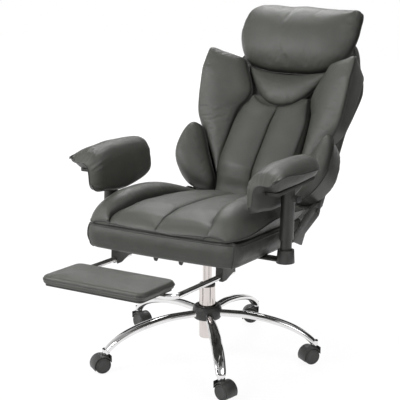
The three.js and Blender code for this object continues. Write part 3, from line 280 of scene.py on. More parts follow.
def turned(name, profile, steps, into=None):
    # a profile of radius and height, extruded point by point and spun about Z
    bpy.ops.object.select_all(action="DESELECT")
    bpy.ops.mesh.primitive_plane_add(size=0.01, location=(0, 0, 0))
    piece = lastAdded(name)
    bpy.ops.object.mode_set(mode="EDIT")
    bpy.ops.mesh.select_all(action="SELECT")
    bpy.ops.mesh.merge(type="CENTER")
    bpy.ops.transform.translate(value=(profile[0][0], 0, profile[0][1]))
    for (r0, z0), (r1, z1) in zip(profile, profile[1:]):
        bpy.ops.mesh.extrude_region_move(TRANSFORM_OT_translate={"value": (r1 - r0, 0, z1 - z0)})
    bpy.ops.mesh.select_all(action="SELECT")
    bpy.ops.mesh.spin(steps=steps, angle=2 * math.pi, center=(0, 0, 0), axis=(0, 0, 1))
    bpy.ops.mesh.select_all(action="SELECT")
    bpy.ops.mesh.remove_doubles(threshold=0.00001)
    bpy.ops.mesh.normals_make_consistent(inside=False)
    bpy.ops.object.mode_set(mode="OBJECT")
    if into is not None:
        piece.data.transform(into)
    smoothShade(piece, 38)
    return piece


def roundOff(points, radius, steps=4):
    # rounds the inner corners of a profile of radius and height
    made = [points[0]]
    for before, corner, after in zip(points, points[1:], points[2:]):
        a, b, c = (np.array(p, float) for p in (before, corner, after))
        reach = min(radius, 0.45 * np.linalg.norm(a - b), 0.45 * np.linalg.norm(c - b))
        start = b + (a - b) / np.linalg.norm(a - b) * reach
        end = b + (c - b) / np.linalg.norm(c - b) * reach
        for t in np.linspace(0, 1, steps + 1):
            made.append(tuple((1 - t) ** 2 * start + 2 * t * (1 - t) * b + t**2 * end))
    made.append(points[-1])
    return made


def refined(nodeName, width, angle=32, segments=2):
    # a merged copy of a CAD node with its edges rounded, which stands for the node
    selectOnly(nodes[nodeName])
    bpy.ops.object.duplicate()
    piece = lastAdded(nodeName + "_fine")
    bpy.ops.object.mode_set(mode="EDIT")
    bpy.ops.mesh.select_all(action="SELECT")
    bpy.ops.mesh.remove_doubles(threshold=0.00002)
    bpy.ops.mesh.dissolve_limited(angle_limit=math.radians(0.8))
    bpy.ops.object.mode_set(mode="OBJECT")
    bevel = piece.modifiers.new("edges", "BEVEL")
    bevel.width = width
    bevel.segments = segments
    bevel.limit_method = "ANGLE"
    bevel.angle_limit = math.radians(angle)
    bevel.harden_normals = False
    applyAll(piece)
    smoothShade(piece, angle)
    return piece


def stitchRow(name, points, body, lift, dash=0.0034, space=0.0016, radius=0.00045):
    # a row of thread dashes along points on a surface, raised by lift
    points = np.asarray(points) + np.asarray(lift)
    reach = np.append(0, np.cumsum(np.linalg.norm(np.diff(points, axis=0), axis=1)))
    curve = newCurve(name, radius, 0, False)
    for start in np.arange(0, reach[-1] - dash, dash + space):
        ends = [[np.interp(s, reach, points[:, k]) for k in range(3)] + [1] for s in (start, start + dash)]
        spline = curve.splines.new("POLY")
        spline.points.add(1)
        spline.points.foreach_set("co", np.ravel(ends))
    return dress(curveToMesh(name, curve), thread, "leather", body)


bodyOf = {node: body for body, held in frame["record"]["behaviour"]["bodies"].items() for node in held}

print("helpers ready")


def newMaterial(name):
    material = bpy.data.materials.new(name)
    material.use_nodes = True
    tree = material.node_tree
    return material, tree, tree.nodes["Principled BSDF"]


def link(tree, source, output, target, socket):
    tree.links.new(source.outputs[output], target.inputs[socket])


def setInputs(node, values):
    for socket, value in values.items():
        node.inputs[socket].default_value = value


def noiseNode(tree, coords, scale, detail=3.0, roughness=0.5):
    node = tree.nodes.new("ShaderNodeTexNoise")
    setInputs(node, {"Scale": scale, "Detail": detail, "Roughness": roughness})
    link(tree, coords, "Object", node, "Vector")
    return node


def rampNode(tree, source, output, stops):
    ramp = tree.nodes.new("ShaderNodeValToRGB")
    for element, (position, colour) in zip(ramp.color_ramp.elements, stops):
        element.position = position
        element.color = (*colour, 1)
    link(tree, source, output, ramp, "Fac")
    return ramp


def mapRange(tree, source, output, low, high, start=0.0, end=1.0):
    node = tree.nodes.new("ShaderNodeMapRange")
    setInputs(node, {"From Min": start, "From Max": end, "To Min": low, "To Max": high})
    link(tree, source, output, node, "Value")
    return node


def bumpNode(tree, source, output, strength, distance, before=None):
    bump = tree.nodes.new("ShaderNodeBump")
    setInputs(bump, {"Strength": strength, "Distance": distance})
    link(tree, source, output, bump, "Height")
    if before:
        link(tree, before, "Normal", bump, "Normal")
    return bump


# how fine each layer of the leather is, and how deep, in metres
leatherScales = {"cloud": 9, "swell": 14, "gloss": 30, "creases": 46, "wobble": 160, "pores": 620}
leatherDepths = {"swell": 0.004, "creases": 0.0012, "pores": 0.00035, "wobble": 0.0016}


def leatherMaterial(name, dark, light, roughness, grain):
    material, tree, shader = newMaterial(name)
    coords = tree.nodes.new("ShaderNodeTexCoord")
    cloud = noiseNode(tree, coords, leatherScales["cloud"], 4, 0.6)
    tone = rampNode(tree, cloud, "Fac", [(0.3, dark), (0.72, light)])
    # painted shade: the seam attribute multiplies the leather's tone down to 0.45 of itself at seams, creases and
    # shaded linings
    seam = tree.nodes.new("ShaderNodeAttribute")
    seam.attribute_name = "seam"
    paintedShadeTone = tree.nodes.new("ShaderNodeMix")  # painted shade: darker at seams, creases and shaded linings
    paintedShadeTone.data_type = "RGBA"
    paintedShadeTone.blend_type = "MULTIPLY"
    link(tree, seam, "Fac", paintedShadeTone, "Factor")
    link(tree, tone, "Color", paintedShadeTone, "A")
    paintedShadeTone.inputs["B"].default_value = (0.45, 0.45, 0.43, 1)
    link(tree, paintedShadeTone, "Result", shader, "Base Color")
    pores = tree.nodes.new("ShaderNodeTexVoronoi")
    pores.feature = "DISTANCE_TO_EDGE"
    pores.inputs["Scale"].default_value = leatherScales["pores"]
    wobble = noiseNode(tree, coords, leatherScales["wobble"], 2)
    shift = tree.nodes.new("ShaderNodeVectorMath")
    shift.operation = "MULTIPLY_ADD"
    link(tree, wobble, "Color", shift, 0)
    shift.inputs[1].default_value = (leatherDepths["wobble"],) * 3
    link(tree, coords, "Object", shift, 2)
    link(tree, shift, "Vector", pores, "Vector")
    poreHeight = rampNode(tree, pores, "Distance", [(0.0, (0, 0, 0)), (0.22, (1, 1, 1))])
    creases = noiseNode(tree, coords, leatherScales["creases"], 5, 0.62)
    swell = noiseNode(tree, coords, leatherScales["swell"], 2)
    first = bumpNode(tree, swell, "Fac", 0.35, leatherDepths["swell"])
    second = bumpNode(tree, creases, "Fac", 0.3, leatherDepths["creases"], first)
    third = bumpNode(tree, poreHeight, "Color", grain, leatherDepths["pores"], second)
    link(tree, third, "Normal", shader, "Normal")
    worn = noiseNode(tree, coords, leatherScales["gloss"], 4)
    gloss = mapRange(tree, worn, "Fac", roughness - 0.07, roughness + 0.09)
    link(tree, gloss, "Result", shader, "Roughness")
    shader.inputs["Specular IOR Level"].default_value = 0.5
    return material


def chromeMaterial(name, tint, roughness):
    material, tree, shader = newMaterial(name)
    coords = tree.nodes.new("ShaderNodeTexCoord")
    smudge = noiseNode(tree, coords, 22, 5, 0.65)
    tone = rampNode(tree, smudge, "Fac", [(0.3, tuple(0.93 * c for c in tint)), (0.65, tint)])
    link(tree, tone, "Color", shader, "Base Color")
    gloss = mapRange(tree, noiseNode(tree, coords, 60, 5, 0.7), "Fac", roughness * 0.6, roughness * 1.7)
    link(tree, gloss, "Result", shader, "Roughness")
    ripple = noiseNode(tree, coords, 18, 2)
    link(tree, bumpNode(tree, ripple, "Fac", 0.12, 0.0012), "Normal", shader, "Normal")
    shader.inputs["Metallic"].default_value = 1.0
    return material


def plasticMaterial(name, dark, light, roughness, texture, metallic=0.0):
    material, tree, shader = newMaterial(name)
    coords = tree.nodes.new("ShaderNodeTexCoord")
    tone = rampNode(tree, noiseNode(tree, coords, 35, 4), "Fac", [(0.35, dark), (0.7, light)])
    link(tree, tone, "Color", shader, "Base Color")
    spark = noiseNode(tree, coords, 900, 2, 0.6)
    wear = noiseNode(tree, coords, 24, 5, 0.6)
    gloss = mapRange(tree, wear, "Fac", roughness - 0.08, roughness + 0.1)
    link(tree, gloss, "Result", shader, "Roughness")
    link(tree, bumpNode(tree, spark, "Fac", texture, 0.00025), "Normal", shader, "Normal")
    shader.inputs["Metallic"].default_value = metallic
    return material


finishes = {
    "leather": {
        "dark": (0.053, 0.055, 0.047), "light": (0.071, 0.073, 0.063), "roughness": 0.38, "grain": 0.5},
    "sideLeather": {
        "dark": (0.042, 0.044, 0.037), "light": (0.055, 0.057, 0.049), "roughness": 0.44, "grain": 0.5},
    "piping": {"dark": (0.026, 0.027, 0.024), "light": (0.04, 0.041, 0.037), "roughness": 0.36, "grain": 0.3},
    "thread": {"dark": (0.02, 0.02, 0.019), "light": (0.03, 0.03, 0.028), "roughness": 0.6, "texture": 0.6},
    "chrome": {"tint": (0.82, 0.81, 0.81), "roughness": 0.07},
    "columnChrome": {"tint": (0.7, 0.65, 0.63), "roughness": 0.1},
    "nylon": {
        "dark": (0.036, 0.036, 0.035), "light": (0.05, 0.05, 0.048), "roughness": 0.42, "texture": 0.35},
    "paint": {"dark": (0.028, 0.028, 0.025), "light": (0.04, 0.04, 0.036), "roughness": 0.45, "texture": 0.5},
}
leather = leatherMaterial("soft leather", **finishes["leather"])
sideLeather = leatherMaterial("gusset leather", **finishes["sideLeather"])
pipingLeather = leatherMaterial("piping leather", **finishes["piping"])
thread = plasticMaterial("sewing thread", **finishes["thread"])
chrome = chromeMaterial("bright chrome", **finishes["chrome"])
columnChrome = chromeMaterial("column chrome", **finishes["columnChrome"])
nylon = plasticMaterial("moulded nylon", **finishes["nylon"])
paint = plasticMaterial("powder coat", **finishes["paint"])
bySlot = {"leather": leather, "chrome": chrome, "nylon": nylon, "painted_steel": paint}
for part in frame["record"]["subparts"]:
    node = nodes[part["node"]]
    node.data.materials.clear()
    node.data.materials.append(bySlot[part["material_slot"]])
print("materials ready")


seatCushion = {
    "front": -0.296, "back": 0.238, "halfWidth": 0.255, "height": 0.167, "bottom": 0.0693,
    "lipBottom": 0.0763, "lipEnd": -0.272, "segments": 288, "rings": 150,
    "puckers": 0.0018, "softness": 0.0024, "drag": 0.0014,
    # how far from a seam, from the side and from the lip the leather wrinkles, in metres
    "seamReach": 0.018, "edgeReach": 0.022, "lipReach": 0.03,
    # how large its wrinkles, folds, drags and swellings are, in metres
    "wrinkle": 0.012, "fold": 0.023, "dragSize": 0.016, "swelling": 0.085, "seamWidth": 0.0035,
    # from front to back, as shares of the half width or of the height
    "stations": [0, 0.008, 0.025, 0.04, 0.08, 0.14, 0.23, 0.34, 0.45, 0.57, 0.69, 0.79, 0.865, 0.9, 0.915,
                 0.96, 1],
    "width": [0.84, 0.88, 0.91, 0.93, 0.96, 0.985, 1, 1, 1, 1, 0.99, 0.975, 0.94, 0.8, 0.56, 0.5, 0.47],
    "seam": [0.48, 0.51, 0.555, 0.585, 0.645, 0.69, 0.73, 0.74, 0.74, 0.73, 0.7, 0.67, 0.64, 0.62, 0.61,
             0.55, 0.46],
    "crown": [0, 0.02, 0.04, 0.055, 0.075, 0.09, 0.1, 0.105, 0.1, 0.1, 0.1, 0.09, 0.08, 0.07, 0.06, 0.04, 0],
    "roll": [0.05, 0.11, 0.155, 0.18, 0.22, 0.25, 0.27, 0.275, 0.26, 0.22, 0.16, 0.1, 0.05, 0.03, 0.02,
             0.01, 0],
    "piping": [0.47, 0.475, 0.48, 0.485, 0.495, 0.51, 0.55, 0.6, 0.64, 0.65, 0.63, 0.6, 0.57, 0.55, 0.54,
               0.5, 0.45],
    "outerSeam": [0.72, 0.71, 0.7, 0.69, 0.64, 0.58, 0.55, 0.53, 0.51, 0.49, 0.47, 0.46, 0.45, 0.44, 0.43,
                  0.42, 0.4],
    # where the way around, from the middle, passes from panel to roll to side to underside
    "panelEnd": 0.36, "rollEnd": 0.8, "sideEnd": 0.88, "cap": 0.03, "pipingRadius": 0.0023,
    "stitchRows": (-0.028, 0.026),
}


frontBow = {"reach": 0.011, "from": -0.16, "halfWidth": 0.25}


def bowed(x, y, front):
    # the seat's front edge is a little round in plan
    near = stretch(y, frontBow["from"], front)
    return y - frontBow["reach"] * near**1.5 * np.clip(1 - (x / frontBow["halfWidth"]) ** 2, 0, 1)


def placeSeatCushion(around, down):
    s = seatCushion
    station, closing = capped(down, s["cap"])
    station = station**1.15  # the front rings lie closer together
    at = {k: smoothTable(s["stations"], s[k], station)
          for k in ("width", "seam", "crown", "roll", "piping", "outerSeam")}
    y = s["front"] + station * (s["back"] - s["front"])
    wide = s["halfWidth"] * at["width"]
    seam, crown, roll = (s["height"] * at[k] for k in ("seam", "crown", "roll"))
    lip = np.clip((s["lipEnd"] - y) / 0.008 + 0.5, 0, 1)
    bottom = s["bottom"] + (s["lipBottom"] - s["bottom"]) * lip
    piped = np.maximum(s["height"] * at["piping"], bottom + 0.0004)
    outer = wide * at["outerSeam"]
    half, side = mirrored(around)
    panelEnd, rollEnd, sideEnd = s["panelEnd"], s["rollEnd"], s["sideEnd"]
    p = crowd(stretch(half, 0, panelEnd))
    r = crowd(stretch(half, panelEnd, rollEnd))
    d = stretch(half, rollEnd, sideEnd)
    b = stretch(half, sideEnd, 1)
    onPanel = half <= panelEnd
    onSide = (half > rollEnd) & (half <= sideEnd)
    x = np.where(onPanel, outer * p, outer + (wide - outer) * r)
    z = np.where(onPanel, seam + crown * hump(p), seam + (piped - seam) * r**2 + roll * hump(r**0.8))
    tuck = 1 - 0.025 * np.sin(d * np.pi / 2) - 0.045 * d**2
    x = np.where(onSide, wide * tuck, x)
    z = np.where(onSide, piped + (bottom - piped) * d, z)
    under = half > sideEnd
    x = np.where(under, wide * 0.93 * (1 - b), x)
    z = np.where(under, bottom, z)
    top = half < rollEnd
    # wrinkles across the seams, and the unevenness of padding
    toSeam = np.where(onPanel, np.minimum(x, outer - x), x - outer)
    near = np.exp(-np.abs(toSeam) / s["seamReach"]) * top
    edge = np.exp(-np.abs(wide - x) / s["edgeReach"]) * top
    across = (softNoise(side * x * 0.25, y, x * 0, s["wrinkle"], 3)
              + 0.6 * softNoise(side * x * 0.3, y, x * 0, s["fold"], 5))
    rim = np.sin(np.clip(np.abs(toSeam) / 0.008, 0, 1) * np.pi / 2)
    pucker = s["puckers"] * (near + 0.7 * edge) * across * rim
    uneven = s["softness"] * softNoise(side * x, y, x * 0, s["swelling"], 8)
    uneven = uneven * top * np.clip(np.abs(toSeam) / 0.05, 0, 1)
    lipNear = np.exp(-(y - s["front"]) / s["lipReach"])
    drag = s["drag"] * softNoise(side * x, y * 0.2, x * 0, s["dragSize"], 11) * lipNear * top
    z = z + pucker + uneven + drag * np.clip((y - s["front"]) / 0.01, 0, 1)
    middle = (seam + bottom) / 2
    x = x * closing
    z = middle + (z - middle) * closing
    # painted shade along the seams of the top
    paintedSeamShade = ridge(toSeam, s["seamWidth"]) * top * (station < 0.97)
    return np.stack([side * x, bowed(x, y, s["front"]), z], axis=1), paintedSeamShade


def seatCushionLine(half, start, end, sign):
    # a line of points along the cushion, in the room
    down = np.linspace(seatCushion["cap"] + start, end, 160)
    return inFrame(lineOn(placeSeatCushion, sided(half, sign), down), seatFrame)


piece = mould("seat_cushion_cover", seatCushion["segments"], seatCushion["rings"], placeSeatCushion,
              seatFrame)
dress(piece, leather, "leather", "seat", "seat_cushion", fill=0.8)
for sideName, sign in sides.items():
    edge = seatCushionLine(seatCushion["rollEnd"], 0.0, 0.86, sign)
    piping(f"cushion_piping_{sideName}", edge, seatCushion["pipingRadius"], "seat")
    for k, shift in enumerate(seatCushion["stitchRows"]):
        row = seatCushionLine(seatCushion["panelEnd"] + shift, 0.02, 0.8, sign)
        stitchRow(f"cushion_stitches_{sideName}_{k + 1}", row, "seat", (0, 0, 0.0003))
lipLine = np.vstack([placeSeatCushion(np.full(1, a % 1), np.full(1, seatCushion["cap"]))[0]
                     for a in np.linspace(-0.4, 0.4, 120)])
piping("cushion_lip_piping", inFrame(lipLine, seatFrame), seatCushion["pipingRadius"], "seat")
print("seat cushion made")


def roundedPlan(corners, radius, count=720):
    # a closed outline in plan through corners given anticlockwise, rounded and evenly spaced
    start = tuple((np.array(corners[0]) + np.array(corners[-1])) / 2)
    points = np.array(roundOff([start, *corners, start], radius, 10))
    reach = np.append(0, np.cumsum(np.linalg.norm(np.diff(points, axis=0), axis=1)))
    want = np.linspace(0, reach[-1], count, endpoint=False)
    return np.stack([np.interp(want, reach, points[:, k]) for k in range(2)], axis=1)


def boxPlacer(s, corners, top, seed):
    # a padded box: an outline in plan with bulged sides, round edges and a crowned top
    outline = roundedPlan(corners, s["corner"])
    if s.get("bowed"):
        outline[:, 1] = bowed(outline[:, 0], outline[:, 1], s["front"])
    step = np.roll(outline, -1, axis=0) - np.roll(outline, 1, axis=0)
    normal = np.stack([step[:, 1], -step[:, 0]], axis=1)
    normal /= np.linalg.norm(normal, axis=1)[:, None]
    middle = outline.mean(axis=0)

    def place(around, down):
        index = (around * len(outline)).astype(int) % len(outline)
        edge, out = outline[index], normal[index]
        # where the way down passes from the top to its round edge, the side and the underside
        capTop, roundTop, sideEnd, roundBottom = 0.22, 0.32, 0.72, 0.82
        share = np.where(down < capTop, down / capTop,
                         np.where(down > roundBottom, (1 - down) / (1 - roundBottom), 1))
        turnTop = stretch(down, capTop, roundTop) * math.pi / 2
        turnBottom = stretch(down, sideEnd, roundBottom) * math.pi / 2
        level = stretch(down, roundTop, sideEnd)
        isTop = down < (roundTop + sideEnd) / 2
        tuck = np.where(isTop, s["topRound"] * (1 - np.sin(turnTop)),
                        s["bottomRound"] * (1 - np.cos(turnBottom)))
        bulge = s["bulge"] * np.sin(np.pi * level) ** 0.8
        drag = s["drag"] * (softNoise(edge[:, 0], edge[:, 1], level * 0.02, 0.03, seed)
                            + 0.6 * softNoise(edge[:, 0], edge[:, 1], level * 0.05, 0.013, seed + 1))
        at = edge + out * (bulge - tuck + drag * np.sin(np.pi * level))[:, None]
        at = middle + (at - middle) * share[:, None]
        high = top(at[:, 0], at[:, 1])
        low = s["bottom"]
        z = np.select(
            [down <= capTop, down < roundTop, down <= sideEnd, down < roundBottom],
            [high, high - s["topRound"] * (1 - np.cos(turnTop)),
             (high - s["topRound"]) * (1 - level) + (low + s["bottomRound"]) * level,
             low + s["bottomRound"] * (1 - np.sin(turnBottom))], low)
        crown = s["crown"] * np.clip(1 - share**2.6, 0, 1) * (down < capTop)
        swell = s["swell"] * softNoise(at[:, 0], at[:, 1], 0 * z, 0.06, seed + 2)
        swell = swell * np.clip(1 - share, 0, 0.3) / 0.3
        z = z + crown + swell * (down < capTop)
        # painted shade where the round top edge meets the side
        paintedSeamShade = ridge(down - roundTop, 0.012)
        return np.stack([at[:, 0], at[:, 1], z], axis=1), paintedSeamShade

    return place, outline, normal


def ringRound(outline, normal, out, height):
    # points round an outline in plan, a little outside it, at heights given by height(x, y)
    return inFrame([(*(p + n * out), height(*p)) for p, n in zip(outline[::3], normal[::3])], seatFrame)


seatBase = {
    "halfWidth": 0.228, "frontHalfWidth": 0.246, "wideTo": 0.016, "narrowFrom": 0.06, "front": -0.291,
    "back": 0.189, "corner": 0.042, "bottom": 0.0003, "topRound": 0.005, "bottomRound": 0.017, "bulge": 0.007,
    "drag": 0.0012, "crown": 0.0, "swell": 0.0, "high": 0.0757, "low": 0.0687, "lipEnd": -0.272,
    "piping": 0.0022, "pipingBelow": 0.0065, "pipingOut": 0.0012, "cornerPiping": 0.0021, "cornerOut": 0.0008,
    "bowed": True,
}
rightSide = [(seatBase[x], seatBase[y]) for x, y in (
    ("frontHalfWidth", "front"), ("frontHalfWidth", "wideTo"), ("halfWidth", "narrowFrom"),
    ("halfWidth", "back"))]
seatBasePlan = rightSide + [(-x, y) for x, y in reversed(rightSide)]


def seatBaseTop(x, y):
    # the same across the seat, with a lip at the front
    s = seatBase
    return s["low"] + (s["high"] - s["low"]) * np.clip((s["lipEnd"] - y) / 0.01 + 0.5, 0, 1) + 0 * x


place, outline, normal = boxPlacer(seatBase, seatBasePlan, seatBaseTop, 80)
piece = mould("seat_base_cover", 360, 70, place, seatFrame)
dress(piece, sideLeather, "leather", "seat", "seat_base", fill=0.9)
ring = ringRound(outline, normal, seatBase["pipingOut"],
                 lambda x, y: seatBaseTop(x, y) - seatBase["pipingBelow"])
piping("seat_base_piping", ring, seatBase["piping"], "seat", True)
for sideName, sign in sides.items():
    tip = np.array([sign * seatBase["frontHalfWidth"], seatBase["front"]])
    corner = int(np.argmin(np.linalg.norm(outline - tip, axis=1)))
    line = lineOn(place, corner / len(outline), np.linspace(0.3, 0.8, 40))
    line[:, :2] += normal[corner] * seatBase["cornerOut"]
    piping(f"seat_base_corner_{sideName}", inFrame(line, seatFrame), seatBase["cornerPiping"], "seat")
print("seat base made")

footrestPad = {
    "halfWidth": 0.1592, "front": -0.6212, "back": -0.4468, "corner": 0.026, "bottom": -0.0248,
    "topRound": 0.01, "bottomRound": 0.008, "bulge": 0.0018, "drag": 0.0011, "crown": 0.0065,
    "swell": 0.0022, "high": -0.0012, "piping": 0.0012, "pipingBelow": 0.0096, "pipingOut": 0.0006,
}
half, front, back = (footrestPad[k] for k in ("halfWidth", "front", "back"))
footrestPlan = [(half, front), (half, back), (-half, back), (-half, front)]
place, outline, normal = boxPlacer(footrestPad, footrestPlan, lambda x, y: footrestPad["high"] + 0 * x, 90)
piece = mould("footrest_pad_cover", 320, 80, place, seatFrame)
dress(piece, leather, "leather", "footrest", "footrest_pad", fill=0.9)
ring = ringRound(outline, normal, footrestPad["pipingOut"],
                 lambda x, y: footrestPad["high"] - footrestPad["pipingBelow"])
piping("footrest_piping", ring, footrestPad["piping"], "footrest", True)
print("footrest pad made")

boardFace = 0.0097  # how far behind the back's own plane the board's front lies


def pillowPlacer(outline, middle, plane, front, rear, wrinkles, seed, edgeRound=0.4):
    # an outline seamed all round, crowned to the front and closed to the rear
    curve = closedCurve(outline)
    field = inset(np.array([middle]), curve)[0]

    def place(around, down):
        isFront = down <= 0.5
        share = np.where(isFront, np.sin(down * np.pi), np.sin(down * np.pi) ** 0.5)
        index = (around * len(curve)).astype(int) % len(curve)
        edge = curve[index]
        flat = middle + (edge - middle) * share[:, None]
        deep = np.where(share > 0.9995, 0, inset(flat, curve))
        fullness = np.clip(deep / field, 0, 1.15)
        x, z = flat[:, 0], flat[:, 1]
        base = plane(x, z)
        along = around * np.linalg.norm(np.diff(curve, axis=0), axis=1).sum()
        pucker = (softNoise(along, share * 0.02, 0 * x, wrinkles["pitch"], seed)
                  + 0.5 * softNoise(along, share * 0.02, 0 * x, wrinkles["pitch"] * 2.3, seed + 1))
        decay = np.exp(-deep / wrinkles["reach"]) * np.clip(deep / 0.004, 0, 1)
        decay = decay * np.clip(2.2 - 2.6 * fullness, 0, 1)
        where = wrinkles["where"](x, z) if "where" in wrinkles else 1
        swell = wrinkles["swell"] * softNoise(x, z, 0 * x, 0.07, seed + 2) * np.clip(deep / 0.03, 0, 1)
        forward = front(x, z) * fullness**edgeRound - wrinkles["depth"] * pucker * decay * where + swell
        closing = np.clip((1 - share) / 0.06, 0, 1)
        y = np.where(isFront, base - forward, base + (rear(x, z, fullness) - base) * closing)
        # with painted shade along the seam round its edge
        return np.stack([x, y, z], axis=1), ridge(deep, 0.0022)

    return place, curve


cloth = {"voxel": 0.0046, "pressure": 4.0, "frames": 20, "quality": 6, "stiffness": 12.0, "bending": 0.12,
         "mass": 0.25}


def swellCover(piece, into, hold, cap, slack):
    # lets the padding swell inside a cover cut a little too large, held where hold() says so, and
    # returns the places of its points in the frame that it is made in
    selectOnly(piece)
    voxels = piece.modifiers.new("even", "REMESH")
    voxels.mode = "VOXEL"
    voxels.voxel_size = cloth["voxel"]
    bpy.ops.object.modifier_apply(modifier="even")
    back = into.inverted()
    before = vertexArray(piece)
    held = piece.vertex_groups.new(name="held")
    for index, weight in enumerate(hold(inFrame(before, back))):
        held.add([index], float(weight), "REPLACE")
    swell = piece.modifiers.new("swell", "CLOTH")
    swell.settings.quality = cloth["quality"]
    swell.settings.mass = cloth["mass"]
    swell.settings.tension_stiffness = swell.settings.compression_stiffness = cloth["stiffness"]
    swell.settings.bending_stiffness = cloth["bending"]
    swell.settings.shrink_min = -slack
    swell.settings.use_pressure = True
    swell.settings.uniform_pressure_force = cloth["pressure"]
    swell.settings.effector_weights.gravity = 0
    swell.settings.vertex_group_mass = "held"
    swell.collision_settings.use_collision = False
    swell.point_cache.frame_end = cloth["frames"]
    scene = bpy.context.scene
    for frameNumber in range(1, cloth["frames"] + 1):
        scene.frame_set(frameNumber)
    bpy.ops.object.modifier_apply(modifier="swell")
    scene.frame_set(1)
    moved = vertexArray(piece) - before
    far = np.linalg.norm(moved, axis=1)
    allowed = cap * np.tanh(far / cap)
    putVertices(piece, before + moved * (allowed / np.maximum(far, 1e-9))[:, None])
    finer = piece.modifiers.new("finer", "SUBSURF")
    finer.levels = finer.render_levels = 1
    bpy.ops.object.modifier_apply(modifier="finer")
    piece.vertex_groups.clear()
    smoothShade(piece)
    return inFrame(vertexArray(piece), back)


wing = {
    "lowest": 0.072, "highest": 0.499, "outer": 0.268, "inner": 0.112, "plane": 0.022, "flare": 0.094,
    "flareBy": 0.8, "crown": 0.036, "middle": (0.5, 0.64),
    "outline": [(0.3, 0.99), (0.5, 1.0), (0.74, 1.0), (0.96, 1.0), (1.0, 0.93), (1.0, 0.76), (0.975, 0.6),
                (0.93, 0.48), (0.82, 0.39), (0.62, 0.27), (0.4, 0.14), (0.24, 0.035), (0.175, 0.0),
                (0.165, 0.1), (0.17, 0.28), (0.165, 0.42), (0.13, 0.57), (0.04, 0.65), (0.0, 0.73),
                (0.045, 0.8), (0.21, 0.93)],
    "wrinkles": {"depth": 0.0011, "pitch": 0.013, "reach": 0.016, "swell": 0.0016},
    "cap": 0.005, "slack": 0.008, "piping": 0.0021,
}
bolster = {
    "lowest": 0.008, "highest": 0.224, "outer": 0.272, "inner": 0.137, "plane": 0.024, "flare": 0.072,
    "flareBy": 0.0, "crown": 0.056, "middle": (0.55, 0.42),
    "outline": [(0.0, 0.12), (0.03, 0.03), (0.2, 0.0), (0.46, 0.01), (0.65, 0.08), (0.8, 0.18), (0.92, 0.3),
                (0.99, 0.44), (1.0, 0.58), (0.985, 0.72), (0.94, 0.85), (0.86, 0.96), (0.74, 1.0),
                (0.61, 0.94), (0.48, 0.79), (0.35, 0.61), (0.22, 0.45), (0.1, 0.31), (0.02, 0.2)],
    "wrinkles": {"depth": 0.0011, "pitch": 0.014, "reach": 0.014, "swell": 0.0018},
    "cap": 0.005, "slack": 0.008, "piping": 0.0021,
}


def holdPillow(curve, plane):
    # a pillow's cover is held at its seam and behind it, and free in front
    def hold(at):
        deep = inset(at[:, [0, 2]], curve)
        behind = at[:, 1] - plane(at[:, 0], at[:, 2])
        return np.where(behind > -0.004, 1, np.clip(1.35 - np.abs(deep) / 0.008, 0, 1))

    return hold


def stuffed(made, s, curve, plane):
    # lets the padding swell the cover
    at = swellCover(made, backFrame, holdPillow(curve, plane), s["cap"], s["slack"])
    # painted shade along the seam round its edge, after swelling
    paintSeamShade(made, ridge(np.maximum(0, inset(at[:, [0, 2]], curve)), 0.003))


def pipeRound(name, curve, plane, radius):
    flat = curve[::4]
    ring = np.stack([flat[:, 0], plane(flat[:, 0], flat[:, 1]), flat[:, 1]], axis=1)
    piping(name, ring, radius, "back", True, backFrame)


def makeSidePads(name, s, cadNode, seed):
    for sideName, sign in sides.items():
        def rise(z):
            up = (z - s["lowest"]) / (s["highest"] - s["lowest"])
            return np.clip(up / s["flareBy"], 0, 1) if s["flareBy"] else 1

        def plane(x, z):
            across = (np.abs(x) - s["inner"]) / (s["outer"] - s["inner"])
            return -s["plane"] - s["flare"] * across * rise(z) + 0.01

        def spot(point):
            return np.array([sign * (s["inner"] + (s["outer"] - s["inner"]) * point[0]),
                             s["lowest"] + (s["highest"] - s["lowest"]) * point[1]])

        outline = [spot(point) for point in s["outline"]]
        if sign < 0:
            outline.reverse()
        place, curve = pillowPlacer(
            outline, spot(s["middle"]), plane, lambda x, z: s["crown"] + 0 * x,
            lambda x, z, fullness: boardFace + 0 * x, s["wrinkles"], seed + sign)
        made = mould(f"{name}_{sideName}", 320, 96, place, backFrame)
        stuffed(made, s, curve, plane)
        dress(made, leather, "leather", "back", f"{cadNode}_{sideName}", fill=0.75)
        pipeRound(f"{name}_piping_{sideName}", curve, plane, s["piping"])


makeSidePads("wing_cover", wing, "back_wing", 20)
makeSidePads("bolster_cover", bolster, "lumbar_bolster", 40)
print("wings and bolsters made")

